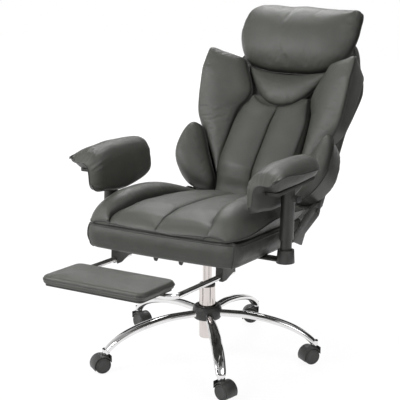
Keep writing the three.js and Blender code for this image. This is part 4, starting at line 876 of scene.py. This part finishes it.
neckPad = {
    "halfWidth": 0.151, "lowest": 0.349, "highest": 0.498, "plane": 0.006, "crown": 0.03, "middle": 0.42,
    "outline": [(0, 0.79), (-0.4, 0.81), (-0.72, 0.87), (-0.9, 0.93), (-0.985, 0.99), (-1.0, 0.92),
                (-0.88, 0.7), (-0.72, 0.47), (-0.56, 0.26), (-0.35, 0.09), (-0.12, 0.01),
                (0.12, 0.01), (0.35, 0.09), (0.56, 0.26), (0.72, 0.47), (0.88, 0.7), (1.0, 0.92),
                (0.985, 0.99), (0.9, 0.93), (0.72, 0.87), (0.4, 0.81)],
    "wrinkles": {"depth": 0.0028, "pitch": 0.013, "reach": 0.022, "swell": 0.0015,
                 "where": lambda x, z: np.clip((0.46 - z) / 0.05, 0.15, 1)},
    "cap": 0.004, "slack": 0.003, "piping": 0.0018,
}
headrest = {
    "halfWidth": 0.218, "lowest": 0.474, "highest": 0.728, "plane": 0.005, "crown": 0.082, "middle": 0.5,
    "outline": [(0, 0), (0.34, 0.01), (0.6, 0.06), (0.76, 0.13), (0.86, 0.26), (0.92, 0.43), (0.945, 0.6),
                (0.94, 0.76), (0.935, 0.88), (0.9, 0.965), (0.8, 0.975), (0.5, 0.97), (0.2, 0.985), (0, 1),
                (-0.25, 0.985), (-0.5, 1), (-0.76, 0.985), (-0.9, 0.93), (-0.975, 0.83), (-1, 0.7),
                (-1, 0.57), (-0.97, 0.42), (-0.88, 0.26), (-0.77, 0.14), (-0.6, 0.06), (-0.34, 0.01)],
    "wrinkles": {"depth": 0.0042, "pitch": 0.02, "reach": 0.034, "swell": 0.0026,
                 "where": lambda x, z: 0.12 + 0.88 * np.clip((np.abs(x) - 0.1) / 0.08, 0, 1)},
    "cap": 0.006, "slack": 0.008, "piping": 0.0018,
}


def boardFront(z):
    return 0.01 + np.maximum(0, z - 0.47) * 0.21


def makeMiddlePad(name, s, cadNode, seed, rearFull):
    outline = [np.array([x * s["halfWidth"], s["lowest"] + (s["highest"] - s["lowest"]) * z])
               for x, z in s["outline"]]
    middle = np.array([0, s["lowest"] + (s["highest"] - s["lowest"]) * s["middle"]])

    def plane(x, z):
        return -s["plane"] + 0 * x

    def rear(x, z, fullness):
        return (boardFront(z) - 0.0003) * np.clip(fullness, 0, 1) ** rearFull

    place, curve = pillowPlacer(outline, middle, plane, lambda x, z: s["crown"] + 0 * x, rear, s["wrinkles"],
                                seed)
    made = mould(name, 320, 110, place, backFrame)
    stuffed(made, s, curve, plane)
    dress(made, leather, "leather", "back", cadNode, fill=0.85)
    pipeRound(name + "_piping", curve, plane, s["piping"])


makeMiddlePad("neck_pad_cover", neckPad, "neck_pad", 60, 0.3)
makeMiddlePad("headrest_cover", headrest, "headrest", 70, 0.4)
print("neck pad and headrest made")

channels = {
    "halfWidth": 0.134, "bottom": -0.034, "topMiddle": 0.343, "topSide": 0.426, "topPower": 2.5,
    "depth": 0.089, "crown": 0.029, "crownPower": 0.62, "cap": 0.04, "panelEnd": 0.68, "sideEnd": 0.8,
    "foot": 0.96,
    "puckers": 0.0014, "seamReach": 0.013, "seamWidth": 0.0035, "wrinkle": 0.012, "fold": 0.024,
    "softness": 0.0018, "swelling": 0.08,
    # from the bottom up, as shares of the depth, the half width or the crown
    "stations": [0, 0.03, 0.08, 0.15, 0.225, 0.33, 0.47, 0.64, 0.8, 0.91, 0.97, 1],
    "deep": [0.26, 0.45, 0.54, 0.65, 0.84, 1, 0.95, 0.87, 0.78, 0.6, 0.46, 0.26],
    "width": [0.9, 0.93, 0.95, 0.97, 0.99, 1, 1, 1, 0.93, 0.84, 0.8, 0.76],
    "full": [0, 0.2, 0.4, 0.7, 0.9, 1, 1, 1, 1, 0.8, 0.4, 0],
}


def placeChannels(around, down):
    s = channels
    station, closing = capped(down, s["cap"])
    deep = s["depth"] * smoothTable(s["stations"], s["deep"], station)
    wide = s["halfWidth"] * smoothTable(s["stations"], s["width"], station)
    crown = s["crown"] * smoothTable(s["stations"], s["full"], station)
    half, side = mirrored(around)
    panelEnd, sideEnd, foot = s["panelEnd"], s["sideEnd"], s["foot"]
    p = crowd(stretch(half, 0, panelEnd))
    d = stretch(half, panelEnd, sideEnd)
    b = stretch(half, sideEnd, 1)
    onPanel = half <= panelEnd
    x = np.where(onPanel, wide * foot * p, wide * (foot + (1 - foot) * np.sin(d * np.pi)))
    depth = np.where(onPanel, deep - crown + crown * hump(p, s["crownPower"]), (deep - crown) * (1 - d))
    x = np.where(b > 0, wide * foot * (1 - b), x)
    depth = np.where(b > 0, 0, depth)
    sideways = np.clip(x / s["halfWidth"], 0, 1) ** s["topPower"]
    top = s["topMiddle"] + (s["topSide"] - s["topMiddle"]) * sideways
    z = s["bottom"] + (top - s["bottom"]) * station
    toSeam = np.minimum(x, wide * foot - x)
    near = np.exp(-np.abs(toSeam) / s["seamReach"])
    near = near * np.sin(np.clip(np.abs(toSeam) / 0.007, 0, 1) * np.pi / 2)
    wave = (softNoise(side * x * 0.3, z, 0 * x, s["wrinkle"], 31)
            + 0.6 * softNoise(side * x * 0.3, z, 0 * x, s["fold"], 33))
    uneven = s["softness"] * softNoise(side * x, z, 0 * x, s["swelling"], 35)
    depth = depth + (s["puckers"] * near * wave + uneven) * onPanel * np.clip(crown / 0.01, 0, 1)
    middleDeep = deep * 0.5
    x = x * closing
    depth = middleDeep + (depth - middleDeep) * closing
    # painted shade along the channels' seams
    paintedSeamShade = ridge(toSeam, s["seamWidth"]) * onPanel
    return np.stack([side * x, boardFace - depth, z], axis=1), paintedSeamShade


piece = mould("back_channels_cover", 240, 120, placeChannels, backFrame)
dress(piece, leather, "leather", "back", "back_cushion", fill=0.8)
print("back channels made")

armPad = {
    "apart": 0.3, "behind": -0.08, "sleeveTop": 0.214, "front": -0.1655, "back": 0.1555, "columns": 112,
    "rings": 132, "round": 0.036, "tuck": 0.3, "gathers": 0.0046, "gathersReach": 0.022, "pulls": 0.0011,
    "softness": 0.0014, "around": 0.26, "middle": -0.011, "linePoints": 150,
    # how large its gathers, folds, pulls and swellings are, in metres
    "gather": 0.0078, "fold": 0.016, "pull": 0.011, "swelling": 0.05,
    # from the outer lip over the crown and down the inner side: across and up, in metres, of the cover's
    # outer face and of the lining that it is sewn to
    "share": [0, 0.04, 0.1, 0.19, 0.3, 0.41, 0.51, 0.6, 0.67, 0.74, 0.82, 0.9, 0.95, 0.98, 1],
    "overX": [0.0405, 0.0403, 0.037, 0.0285, 0.011, -0.009, -0.0265, -0.041, -0.051, -0.058, -0.0615,
              -0.0625, -0.061, -0.0575, -0.046],
    "overZ": [0.035, 0.041, 0.05, 0.061, 0.071, 0.075, 0.072, 0.0635, 0.0505, 0.032, 0.002, -0.034, -0.055,
              -0.065, -0.0715],
    "liningX": [0.0403, 0.0385, 0.0345, 0.0295, 0.018, 0.004, -0.008, -0.0165, -0.0205, -0.0215, -0.0222,
                -0.023, -0.026, -0.033, -0.046],
    "liningZ": [0.0345, 0.0265, 0.0145, 0.0078, 0.0062, 0.0062, 0.0062, 0.0058, 0.0005, -0.013, -0.033,
                -0.053, -0.064, -0.0695, -0.0715],
    # along it from front to back: how high and wide it is, how far the inner side hangs and the lip
    # turns up, and how thin the pad is over its board
    "stations": [0, 0.03, 0.07, 0.12, 0.18, 0.26, 0.4, 0.52, 0.64, 0.76, 0.86, 0.93, 0.975, 1],
    "high": [0.5, 0.61, 0.73, 0.83, 0.91, 0.96, 1, 0.99, 0.97, 0.94, 0.89, 0.82, 0.72, 0.6],
    "wide": [0.9, 0.95, 0.98, 1, 1, 1, 1, 1, 1, 0.99, 0.96, 0.9, 0.8, 0.66],
    "drop": [0.46, 0.67, 0.75, 0.79, 0.82, 0.88, 0.97, 0.98, 0.94, 0.87, 0.77, 0.65, 0.5, 0.34],
    "lip": [1, 1, 0.96, 0.9, 0.8, 0.62, 0.28, 0, -0.1, -0.2, -0.3, -0.3, -0.3, -0.3],
    "lipRise": 0.02, "thin": [1, 0.8, 0.45, 0.06, 0, 0, 0, 0, 0, 0, 0, 0.2, 0.6, 1], "thinRise": 0.022,
}


def placeArmPad(share, station, onCover):
    # a point of the cover, or of the lining under it, at a share of the way across and along
    s = armPad
    at = {k: smoothTable(s["stations"], s[k], station) for k in ("high", "wide", "drop", "lip", "thin")}
    overX, overZ, liningX, liningZ = (smoothTable(s["share"], s[k], share)
                                      for k in ("overX", "overZ", "liningX", "liningZ"))
    lipNear = stretch(share, 0.3, 0) ** 1.5
    lift = s["lipRise"] * at["lip"] * lipNear
    overX, liningX = (s["middle"] + (x - s["middle"]) * at["wide"] for x in (overX, liningX))
    overZ = np.where(overZ > 0.006, 0.006 + (overZ - 0.006) * at["high"], overZ * at["drop"]) + lift
    liningZ = np.where(liningZ > 0, liningZ, liningZ * at["drop"]) + np.maximum(0, lift)
    raised = np.clip((0.78 - share) / 0.3, 0, 1) * np.clip(share / 0.1, 0, 1)
    liningZ = liningZ + s["thinRise"] * at["thin"] * raised
    parted = np.clip(share / 0.05, 0, 1) ** 0.6  # cover and lining meet at the lip
    liningX, liningZ = overX + (liningX - overX) * parted, overZ + (liningZ - overZ) * parted
    y = s["front"] + (s["back"] - s["front"]) * station
    # gathers run back from the front seam, and pulls run in from the lip
    across = share * s["around"]
    gather = (softNoise(across, y * 0.14, 0 * y, s["gather"], 51)
              + 0.5 * softNoise(across, y * 0.2, 0 * y, s["fold"], 52))
    fromEnd = np.minimum(y - s["front"], (s["back"] - y) * 1.6)
    gather = s["gathers"] * gather * np.exp(-fromEnd / s["gathersReach"]) * np.clip(share / 0.05, 0, 1)
    pull = s["pulls"] * softNoise(share * 0.03, y, 0 * y, s["pull"], 53)
    pull = pull * np.exp(-share / 0.07) * np.clip(share / 0.02, 0, 1)
    swell = s["softness"] * softNoise(across, y, 0 * y, s["swelling"], 54)
    push = (gather + pull + swell) * np.clip(fromEnd / 0.006, 0, 1)
    acrossX, acrossZ = overX - liningX, overZ - liningZ
    size = np.maximum(np.hypot(acrossX, acrossZ), 1e-6)
    thick = np.clip(size / 0.03, 0, 1)
    overX, overZ = overX + acrossX / size * push * thick, overZ + acrossZ / size * push * thick
    # both ends close on a seam low on the pad, round as stuffing makes them
    closing = np.sqrt(np.clip(1 - (1 - np.clip(fromEnd / s["round"], 0, 1)) ** 2, 0, 1))
    seamX, seamZ = (lining + s["tuck"] * (over - lining)
                    for over, lining in ((overX, liningX), (overZ, liningZ)))
    x = seamX + (np.where(onCover, overX, liningX) - seamX) * closing
    z = seamZ + (np.where(onCover, overZ, liningZ) - seamZ) * closing
    return np.stack([x, y, z], axis=1)


def makeArmPad(name, into):
    # a grid wrapped round the pad, whose edges meet and are merged
    s = armPad
    bpy.ops.object.select_all(action="DESELECT")
    bpy.ops.mesh.primitive_grid_add(x_subdivisions=2 * s["columns"], y_subdivisions=s["rings"], size=2)
    piece = lastAdded(name)
    at = vertexArray(piece)
    around, along = (at[:, 0] + 1) / 2, (at[:, 1] + 1) / 2
    share = 1 - np.abs(2 * around - 1)
    share = 0.6 * share + 0.4 * crowd(share)
    station = 0.45 * along + 0.55 * crowd(along)
    putVertices(piece, placeArmPad(share, station, around <= 0.5))
    # painted shade on the inner lining, which lies under the lip, and along the lip seam
    lining = 0.85 * (around > 0.5) * np.clip((0.8 - share) / 0.2, 0, 1)  # it lies in shade
    paintSeamShade(piece, np.maximum(ridge(share, 0.012), lining))
    selectOnly(piece)
    bpy.ops.object.mode_set(mode="EDIT")
    bpy.ops.mesh.select_all(action="SELECT")
    bpy.ops.mesh.remove_doubles(threshold=0.00002)
    bpy.ops.mesh.normals_make_consistent(inside=False)
    bpy.ops.object.mode_set(mode="OBJECT")
    piece.data.transform(into)
    outward(piece)
    smoothShade(piece)
    return piece


for sideName, sign in sides.items():
    onSleeve = (
        seatFrame @ Matrix.Translation((sign * armPad["apart"], armPad["behind"], armPad["sleeveTop"]))
        @ Matrix.Rotation(math.radians(chair["seatTilt"]), 4, "X") @ Matrix.Diagonal((sign, 1, 1, 1)))
    piece = makeArmPad(f"arm_pad_cover_{sideName}", onSleeve)
    dress(piece, leather, "leather", f"arm_{sideName}", f"arm_pad_{sideName}", fill=0.85)
    along = np.linspace(0.0, 1.0, armPad["linePoints"])
    for edgeName, share, station, radius, ahead in (
            ("lip", 0 * along, along, 0.0017, 0), ("seam", along, 0 * along, 0.0016, 0.0004),
            ("welt", 0 * along + 1, along, 0.0015, 0)):
        line = placeArmPad(share, station, np.full(len(along), True)) - [0, ahead, 0]
        piping(f"arm_pad_{edgeName}_{sideName}", inFrame(line, onSleeve), radius, f"arm_{sideName}")
print("arm pads made")

backShell = {
    "bottom": -0.046, "top": 0.652, "foot": 0.2236, "halfWidth": 0.26, "thickness": 0.044,
    "stations": [0, 0.035, 0.11, 0.25, 0.29, 0.47, 0.58, 0.69, 0.739, 0.82, 0.9, 0.96, 0.99, 1],
    "flare": [0, 0, 0, 0, 0.45, 0.45, 0.75, 1, 0.85, 0.1, -0.5, -1, -1.4, -1.7],
    "close": [0.4, 0.8, 1, 1, 1, 1, 1, 1, 1, 1, 1, 0.95, 0.75, 0.45],
    # where the way around, from the middle of the front, passes to the side and to the rear
    "flat": 0.43, "turn": 0.57, "widthClose": 0.3, "rearBulge": 0.006, "seamAcross": 0.66,
    "seamUp": (0.3, 0.72), "groove": 0.0022, "cap": 0.04, "piping": 0.0026,
    "softness": 0.0016, "swelling": 0.07, "creases": 0.0008, "creaseSize": 0.022, "seamWidth": 0.004,
}


def placeShell(around, down):
    s = backShell
    station, closing = capped(down, s["cap"])
    close = smoothTable(s["stations"], s["close"], station)
    flare = smoothTable(s["stations"], s["flare"], station)
    z = s["bottom"] + station * (s["top"] - s["bottom"])
    wide = (s["foot"] + (s["halfWidth"] - s["foot"]) * flare) * (1 + (close - 1) * s["widthClose"])
    half = s["thickness"] * close / 2
    h, side = mirrored(around)
    rimRadius = half * 0.85
    theta = stretch(h, s["flat"], s["turn"]) * math.pi
    x = np.where(h < s["flat"], (wide - rimRadius) * h / s["flat"],
                 np.where(h > s["turn"], (wide - rimRadius) * (1 - h) / (1 - s["turn"]),
                          wide - rimRadius + rimRadius * np.sin(theta)))
    depth = np.where(h < s["flat"], -half, np.where(h > s["turn"], half, -half * np.cos(theta)))
    rear = (h > s["turn"]).astype(float)
    full = np.clip(1 - (x / wide) ** 4, 0, 1) * np.clip(np.minimum(station, 1 - station) / 0.08, 0, 1)
    toSeam = np.abs(x - s["seamAcross"] * wide)
    for up in s["seamUp"]:
        toSeam = np.minimum(toSeam, np.abs(z - (s["bottom"] + up * (s["top"] - s["bottom"]))))
    line = ridge(toSeam, s["seamWidth"])
    swell = (s["softness"] * softNoise(side * x, z, 0 * x, s["swelling"], 61)
             + s["creases"] * softNoise(side * x, z, 0 * x, s["creaseSize"], 62))
    depth = depth + rear * (s["rearBulge"] * full + swell * full - s["groove"] * line * full)
    y = boardFront(z) + half + depth * closing
    # painted shade along the rear seams and beside the front piping
    paintedSeamShade = np.maximum(rear * line, ridge(h - s["flat"] - 0.012, 0.008)) * (closing > 0.5)
    return np.stack([side * x * closing, y, z], axis=1), paintedSeamShade


piece = mould("back_shell_cover", 300, 150, placeShell, backFrame)
dress(piece, sideLeather, "leather", "back", "back_shell", fill=0.95)
for label, at in (("front", backShell["flat"] + 0.022), ("rear", backShell["turn"] - 0.022)):
    rise = np.linspace(backShell["cap"], 1 - backShell["cap"], 150)
    ring = np.vstack([lineOn(placeShell, at / 2, rise), lineOn(placeShell, 1 - at / 2, rise)[::-1]])
    piping(f"back_shell_piping_{label}", inFrame(ring, backFrame), backShell["piping"], "back", True)
for sideName, sign in sides.items():
    for k, shift in enumerate((-0.006, 0.006)):
        h = backShell["turn"] + (1 - backShell["turn"]) * (1 - backShell["seamAcross"] * 1.08 + shift)
        row = lineOn(placeShell, sided(h, sign), np.linspace(0.1, 0.92, 160))
        stitchRow(f"back_shell_stitches_{sideName}_{k + 1}", inFrame(row, backFrame), "back", (0, 0.0004, 0))
print("back shell made")

leg = {
    # from root to tip: how far out and how far down, and how wide and deep the tube is, as shares
    "reach": [0.06, 0.31, 0.49, 0.65, 0.785, 0.89, 0.962, 0.992],
    "drop": [0, 0, 0.07, 0.21, 0.4, 0.63, 0.86, 1], "wide": [0.74, 0.8, 0.92, 1, 1, 0.96, 0.88, 0.8],
    "deep": [1, 1, 0.98, 0.96, 0.92, 0.86, 0.84, 0.86],
    "stemCircle": 0.333, "root": 0.138, "end": 0.064, "halfWidth": 0.018, "halfDepth": 0.0105,
    "foot": 0.0552, "cap": 0.035, "squareness": 0.86,
}


def placeLeg(around, down):
    s = leg
    station, closing = capped(down, s["cap"])
    last = len(s["reach"]) - 1
    t = station * last
    index = np.arange(last + 1.0)

    def along(at):
        return (s["stemCircle"] * smoothTable(index, s["reach"], at),
                s["root"] - smoothTable(index, s["drop"], at) * (s["root"] - s["end"]))

    x, z = along(t)
    ahead, behind = along(np.clip(t + 0.05, 0, last)), along(np.clip(t - 0.05, 0, last))
    dx, dz = ahead[0] - behind[0], ahead[1] - behind[1]
    size = np.hypot(dx, dz)
    turn = around * 2 * math.pi
    wide = s["halfWidth"] * smoothTable(index, s["wide"], t) * closing
    deep = s["halfDepth"] * smoothTable(index, s["deep"], t) * closing
    over = np.sign(np.sin(turn)) * np.abs(np.sin(turn)) ** s["squareness"] * deep
    across = np.sign(np.cos(turn)) * np.abs(np.cos(turn)) ** s["squareness"] * wide
    made = np.stack([x - dz / size * over, across, z + dx / size * over], axis=1)
    made[:, 2] = np.maximum(made[:, 2], s["foot"])
    return made, 0 * x


socketIn = {"radius": 0.0118, "stem": 0.0061, "low": 0.0552, "high": 0.071, "deep": 0.004, "edge": 0.0012}
radius, stem, low, high = (socketIn[k] for k in ("radius", "stem", "low", "high"))
socketRim = roundOff([(0.0, high), (radius, high), (radius, low), (stem, low), (stem, low + socketIn["deep"]),
                      (0.0, low + socketIn["deep"])], socketIn["edge"], 3)
for number in range(1, 6):
    angle = math.pi * ((2 * number - 1) / 5 - 0.5)
    into = Matrix.Translation((0, columnY, 0)) @ Matrix.Rotation(angle, 4, "Z")
    piece = mould(f"leg_{number}", 40, 90, placeLeg, into)
    socket = turned(f"leg_socket_{number}", socketRim, 40,
                    into @ Matrix.Translation((leg["stemCircle"], 0, 0)))
    selectOnly(piece, socket)
    bpy.ops.object.join()
    dress(bpy.context.active_object, chrome, "chrome", "base", f"base_leg_{number}")
print("legs made")

hub = {"radius": 0.0452, "low": 0.12, "high": 0.162, "neck": 0.0262, "flat": 0.031, "round": 0.018}
radius, low, high, neck, flat = (hub[k] for k in ("radius", "low", "high", "neck", "flat"))
coverRim = [(flat, low), (radius - 0.004, low), (radius, low + 0.012), (radius, high - 0.012),
            (radius - 0.006, high), (flat, high + 0.0008), (neck, high - 0.0015), (neck, low + 0.004),
            (flat, low)]
into = Matrix.Translation((0, columnY, 0))
piece = turned("hub_cover_fine", roundOff(coverRim, hub["round"], 8), 96, into)
dress(piece, nylon, "nylon", "base", "hub_cover")

column = {"tube": 0.025, "hole": 0.0165, "foot": 0.059, "top": 0.225, "wall": 0.0035, "rod": 0.014,
          "rodLow": 0.147, "rodHigh": 0.343, "bush": 0.0073, "bushIn": 0.0144, "bushOut": 0.0212,
          "bushDeep": 0.022}
tube, hole, foot, top = (column[k] for k in ("tube", "hole", "foot", "top"))
bushIn, bushOut, bushLow, bushTop = (column["bushIn"], column["bushOut"], top - column["bushDeep"],
                                     top + column["bush"])
tubeRim = [(hole, foot), (tube - 0.0012, foot), (tube, foot + 0.004), (tube, top - 0.001),
           (tube - 0.0008, top), (tube - column["wall"], top), (tube - column["wall"], foot + 0.0035),
           (hole, foot + 0.0035), (hole, foot)]
bushRim = [(bushIn, bushLow), (bushOut, bushLow), (bushOut, top + 0.0003), (tube, top + 0.0003),
           (tube, top + 0.005), (0.0225, bushTop), (bushIn, bushTop), (bushIn, bushLow)]
rodRim = [(0.0, column["rodLow"]), (column["rod"], column["rodLow"]), (column["rod"], column["rodHigh"]),
          (0.0, column["rodHigh"])]
for name, rim, edge, material, slot, body, node in (
        ("column_tube_fine", tubeRim, 0.0012, columnChrome, "chrome", "base", "column_tube"),
        ("column_bush_fine", bushRim, 0.0012, nylon, "nylon", "base", "column_bush"),
        ("gas_rod_fine", rodRim, 0.0008, columnChrome, "chrome", "lift", "gas_cylinder")):
    dress(turned(name, roundOff(rim, edge, 3), 96, into), material, slot, body, node)
print("column made")

wheel = {"radius": 0.025, "inner": 0.0038, "width": 0.017, "axle": 0.003}
inner, outer = wheel["inner"], wheel["inner"] + wheel["width"]
tread = [(wheel["axle"], inner), (0.0235, inner), (wheel["radius"], inner + 0.0016),
         (wheel["radius"], outer - 0.0034), (0.0232, outer - 0.0006), (0.0212, outer),
         (0.0198, outer - 0.0002), (0.0193, outer - 0.0012), (0.0186, outer - 0.0012),
         (0.0178, outer - 0.0002), (0.009, outer - 0.0014), (0.0, outer - 0.0018)]
tread = roundOff(tread, 0.0016, 3)
for number in range(1, 6):
    spin = joints[f"caster_{number}_spin"]
    turn = Vector(spin["axis"]).to_track_quat("Z", "X").to_matrix().to_4x4()
    onAxle = Matrix.Translation(spin["pos_m"]) @ turn
    halves = [turned(f"wheel_{number}_{label}", tread, 72, onAxle @ Matrix.Rotation(flip, 4, "X"))
              for label, flip in ((1, 0), (-1, math.pi))]
    axleRim = [(0, -inner), (wheel["axle"], -inner), (wheel["axle"], inner), (0, inner)]
    axle = turned(f"axle_{number}", axleRim, 24, onAxle)
    selectOnly(*halves, axle)
    bpy.ops.object.join()
    piece = bpy.context.active_object
    piece.name = piece.data.name = f"caster_wheels_{number}_fine"
    dress(piece, nylon, "nylon", f"wheels_{number}", f"caster_wheels_{number}")
print("wheels made")

# rigid CAD nodes kept in shape, with their edges rounded: how much, in metres
edges = {
    "mechanism_box": 0.0015, "rock_pin": 0.0006, "seat_mount_plate": 0.0008, "tension_knob": 0.0008,
    "height_lever": 0.0012,
}
pairEdges = {
    "footrest_guide": 0.0012, "footrest_catch": 0.0012, "arm_bar": 0.001, "arm_collar": 0.002,
    "arm_post": 0.0005, "arm_sleeve": 0.001, "arm_button": 0.0006, "hinge_plate": 0.0012,
}
for stem, width in pairEdges.items():
    edges |= {f"{stem}_left": width, f"{stem}_right": width}
edges |= {"recline_lever": 0.0018, "hinge_arm_left": 0.001, "hinge_arm_right": 0.001,
          "footrest_board": 0.0008}
edges |= {f"caster_hood_{number}": 0.0009 for number in range(1, 6)}
slotOf = {part["node"]: part["material_slot"] for part in frame["record"]["subparts"]}
for nodeName, width in edges.items():
    piece = refined(nodeName, width)
    slot = slotOf[nodeName]
    dress(piece, bySlot[slot], slot, bodyOf[nodeName], nodeName)
print("rigid pieces refined")

footrestTube = {"apart": 0.175, "radius": 0.008, "below": -0.038, "rear": -0.16, "cross": -0.495,
                "bend": 0.03}
apart, below, bend = (footrestTube[k] for k in ("apart", "below", "bend"))
arc = [(apart - bend * (1 - math.cos(a)), footrestTube["cross"] + bend * (1 - math.sin(a)), below)
       for a in np.linspace(0, math.pi / 2, 14)]
straight = [(apart, y, below) for y in np.linspace(footrestTube["rear"], arc[0][1], 12)[:-1]]
path = np.array(straight + arc)
path = np.vstack([path, (path * [-1, 1, 1])[::-1]])
tube = tubeAlong("footrest_tube", inFrame(path, seatFrame), footrestTube["radius"], False, chrome, "chrome",
                 "footrest_frame", sides=24)
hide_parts("footrest_frame")

bolts = {"radius": 0.0062, "height": 0.0034, "apart": 0.2363, "places": [(0.118, 0.03), (0.152, 0.046)]}
bolt = roundOff([(0.0, 0.0), (bolts["radius"], 0.0), (bolts["radius"], 0.0012), (0.0046, bolts["height"]),
                 (0.0, bolts["height"] + 0.0003)], 0.0016, 4)
for sideName, sign in sides.items():
    outer = seatFrame @ Matrix.Translation((sign * bolts["apart"], 0, 0))
    for k, (y, z) in enumerate(bolts["places"]):
        into = outer @ Matrix.Translation((0, y, z)) @ Matrix.Rotation(sign * math.pi / 2, 4, "Y")
        dress(turned(f"hinge_bolt_{sideName}_{k + 1}", bolt, 32, into), paint, "painted_steel", "seat")
print("tube and bolts made")

stage = {"floorSize": 14, "floorTone": 0.6, "floorGlow": 0.82, "glowStrength": 1.12, "worldTone": 0.42,
         "ceilingTone": 0.36, "ceilingFrom": 0.1, "ceilingTo": 0.75, "clearFrom": 1.0, "clearTo": 3.0,
         "aim": 0.5}


def mathNode(tree, operation, *sources):
    node = tree.nodes.new("ShaderNodeMath")
    node.operation = operation
    for index, (source, output) in enumerate(sources):
        link(tree, source, output, node, index)
    return node


def floorMaterial():
    # white to the camera and to mirrors, with the object's soft shadow left on it
    material, tree, shader = newMaterial("studio floor")
    setInputs(shader, {"Base Color": (stage["floorTone"],) * 3 + (1,), "Roughness": 0.9})
    ray = tree.nodes.new("ShaderNodeLightPath")
    seen = mathNode(tree, "MAXIMUM", (ray, "Is Camera Ray"), (ray, "Is Glossy Ray"))
    away = tree.nodes.new("ShaderNodeVectorMath")
    away.operation = "LENGTH"
    link(tree, tree.nodes.new("ShaderNodeTexCoord"), "Object", away, 0)
    glow = mapRange(tree, away, "Value", stage["floorGlow"], 1.0, stage["clearFrom"], stage["clearTo"])
    share = mathNode(tree, "MULTIPLY", (seen, 0), (glow, "Result"))
    white = tree.nodes.new("ShaderNodeEmission")
    white.inputs["Strength"].default_value = stage["glowStrength"]
    mix = tree.nodes.new("ShaderNodeMixShader")
    for socket, node in enumerate((share, shader, white)):
        link(tree, node, 0, mix, socket)
    link(tree, mix, 0, tree.nodes["Material Output"], "Surface")
    return material


bpy.ops.object.select_all(action="DESELECT")
bpy.ops.mesh.primitive_plane_add(size=stage["floorSize"], location=(0, 0, 0))
floor = lastAdded("studio_floor")
floor.data.materials.append(floorMaterial())

world = bpy.data.worlds.new("studio")
bpy.context.scene.world = world
world.use_nodes = True
worldTree = world.node_tree
background = worldTree.nodes["Background"]
ray = worldTree.nodes.new("ShaderNodeLightPath")
# in reflections, a pale room with a darker ceiling
height = worldTree.nodes.new("ShaderNodeSeparateXYZ")
link(worldTree, worldTree.nodes.new("ShaderNodeTexCoord"), "Generated", height, 0)
ceiling = mapRange(worldTree, height, "Z", 1.0, stage["ceilingTone"], stage["ceilingFrom"],
                   stage["ceilingTo"])
level = mapRange(worldTree, ray, "Is Camera Ray", stage["worldTone"], 1.0)
chosen = worldTree.nodes.new("ShaderNodeMix")
link(worldTree, ray, "Is Glossy Ray", chosen, 0)
link(worldTree, level, "Result", chosen, 2)
link(worldTree, ceiling, "Result", chosen, 3)
link(worldTree, chosen, 0, background, "Strength")
background.inputs["Color"].default_value = (1, 1, 1, 1)


def facing(at, height):
    # turned to look at a point that high over the middle of the floor
    return (Vector((0, 0, height)) - Vector(at)).to_track_quat("-Z", "Y").to_euler()


# dark studio screens, seen only in reflections
screens = [
    {"name": "screen_behind", "at": (-1.9, 3.4, 2.0), "size": (5.0, 2.2), "tone": 0.03, "upright": False},
    {"name": "screen_side", "at": (1.05, 1.0, 0.75), "size": (2.0, 1.5), "tone": 0.02, "upright": True},
    {"name": "screen_low_right", "at": (0.58, -0.26, 0.25), "size": (0.11, 0.5), "tone": 0.08,
     "upright": True},
    {"name": "screen_low_left", "at": (-0.36, -0.6, 0.25), "size": (0.13, 0.5), "tone": 0.06,
     "upright": True},
]
for screen in screens:
    bpy.ops.object.select_all(action="DESELECT")
    bpy.ops.mesh.primitive_plane_add(size=1, location=screen["at"])
    card = lastAdded(screen["name"])
    card.scale = (*screen["size"], 1)
    card.rotation_euler = facing(screen["at"], screen["at"][2] if screen["upright"] else stage["aim"])
    material, tree, shader = newMaterial(screen["name"])
    setInputs(shader, {"Base Color": (screen["tone"],) * 3 + (1,), "Roughness": 1.0})
    card.data.materials.append(material)
    card.visible_camera = card.visible_shadow = card.visible_diffuse = False

lamps = [
    {"name": "key", "at": (-1.8, -2.8, 2.9), "size": 2.2, "power": 130},
    {"name": "rim", "at": (-1.2, 2.2, 3.0), "size": 1.6, "power": 55},
    {"name": "side", "at": (2.4, -0.6, 3.4), "size": 1.8, "power": 34},
]
for lamp in lamps:
    light = bpy.data.lights.new(lamp["name"], "AREA")
    light.size = lamp["size"]
    light.energy = lamp["power"]
    holder = bpy.data.objects.new(lamp["name"], light)
    holder.location = lamp["at"]
    holder.rotation_euler = facing(lamp["at"], stage["aim"])
    bpy.context.scene.collection.objects.link(holder)

cameraSet = {
    "position": (1.60935, -2.88106, 1.32328),  # from the column's foot
    "right": (0.86971, 0.49356, 0.0),
    "up": (-0.12032, 0.21201, 0.96983),
    "back": (0.47867, -0.84348, 0.24377),
    "lens": 101.61,
}
camera = bpy.data.objects.new("camera", bpy.data.cameras.new("camera"))
camera.data.sensor_fit = "HORIZONTAL"
camera.data.sensor_width = 36
camera.data.lens = cameraSet["lens"]
turn = Matrix([cameraSet["right"], cameraSet["up"], cameraSet["back"]]).transposed().to_4x4()
camera.matrix_world = Matrix.Translation(Vector(cameraSet["position"]) + Vector((0, columnY, 0))) @ turn
bpy.context.scene.collection.objects.link(camera)
bpy.context.scene.camera = camera
bpy.context.scene.view_settings.view_transform = "Standard"
print("stage ready")
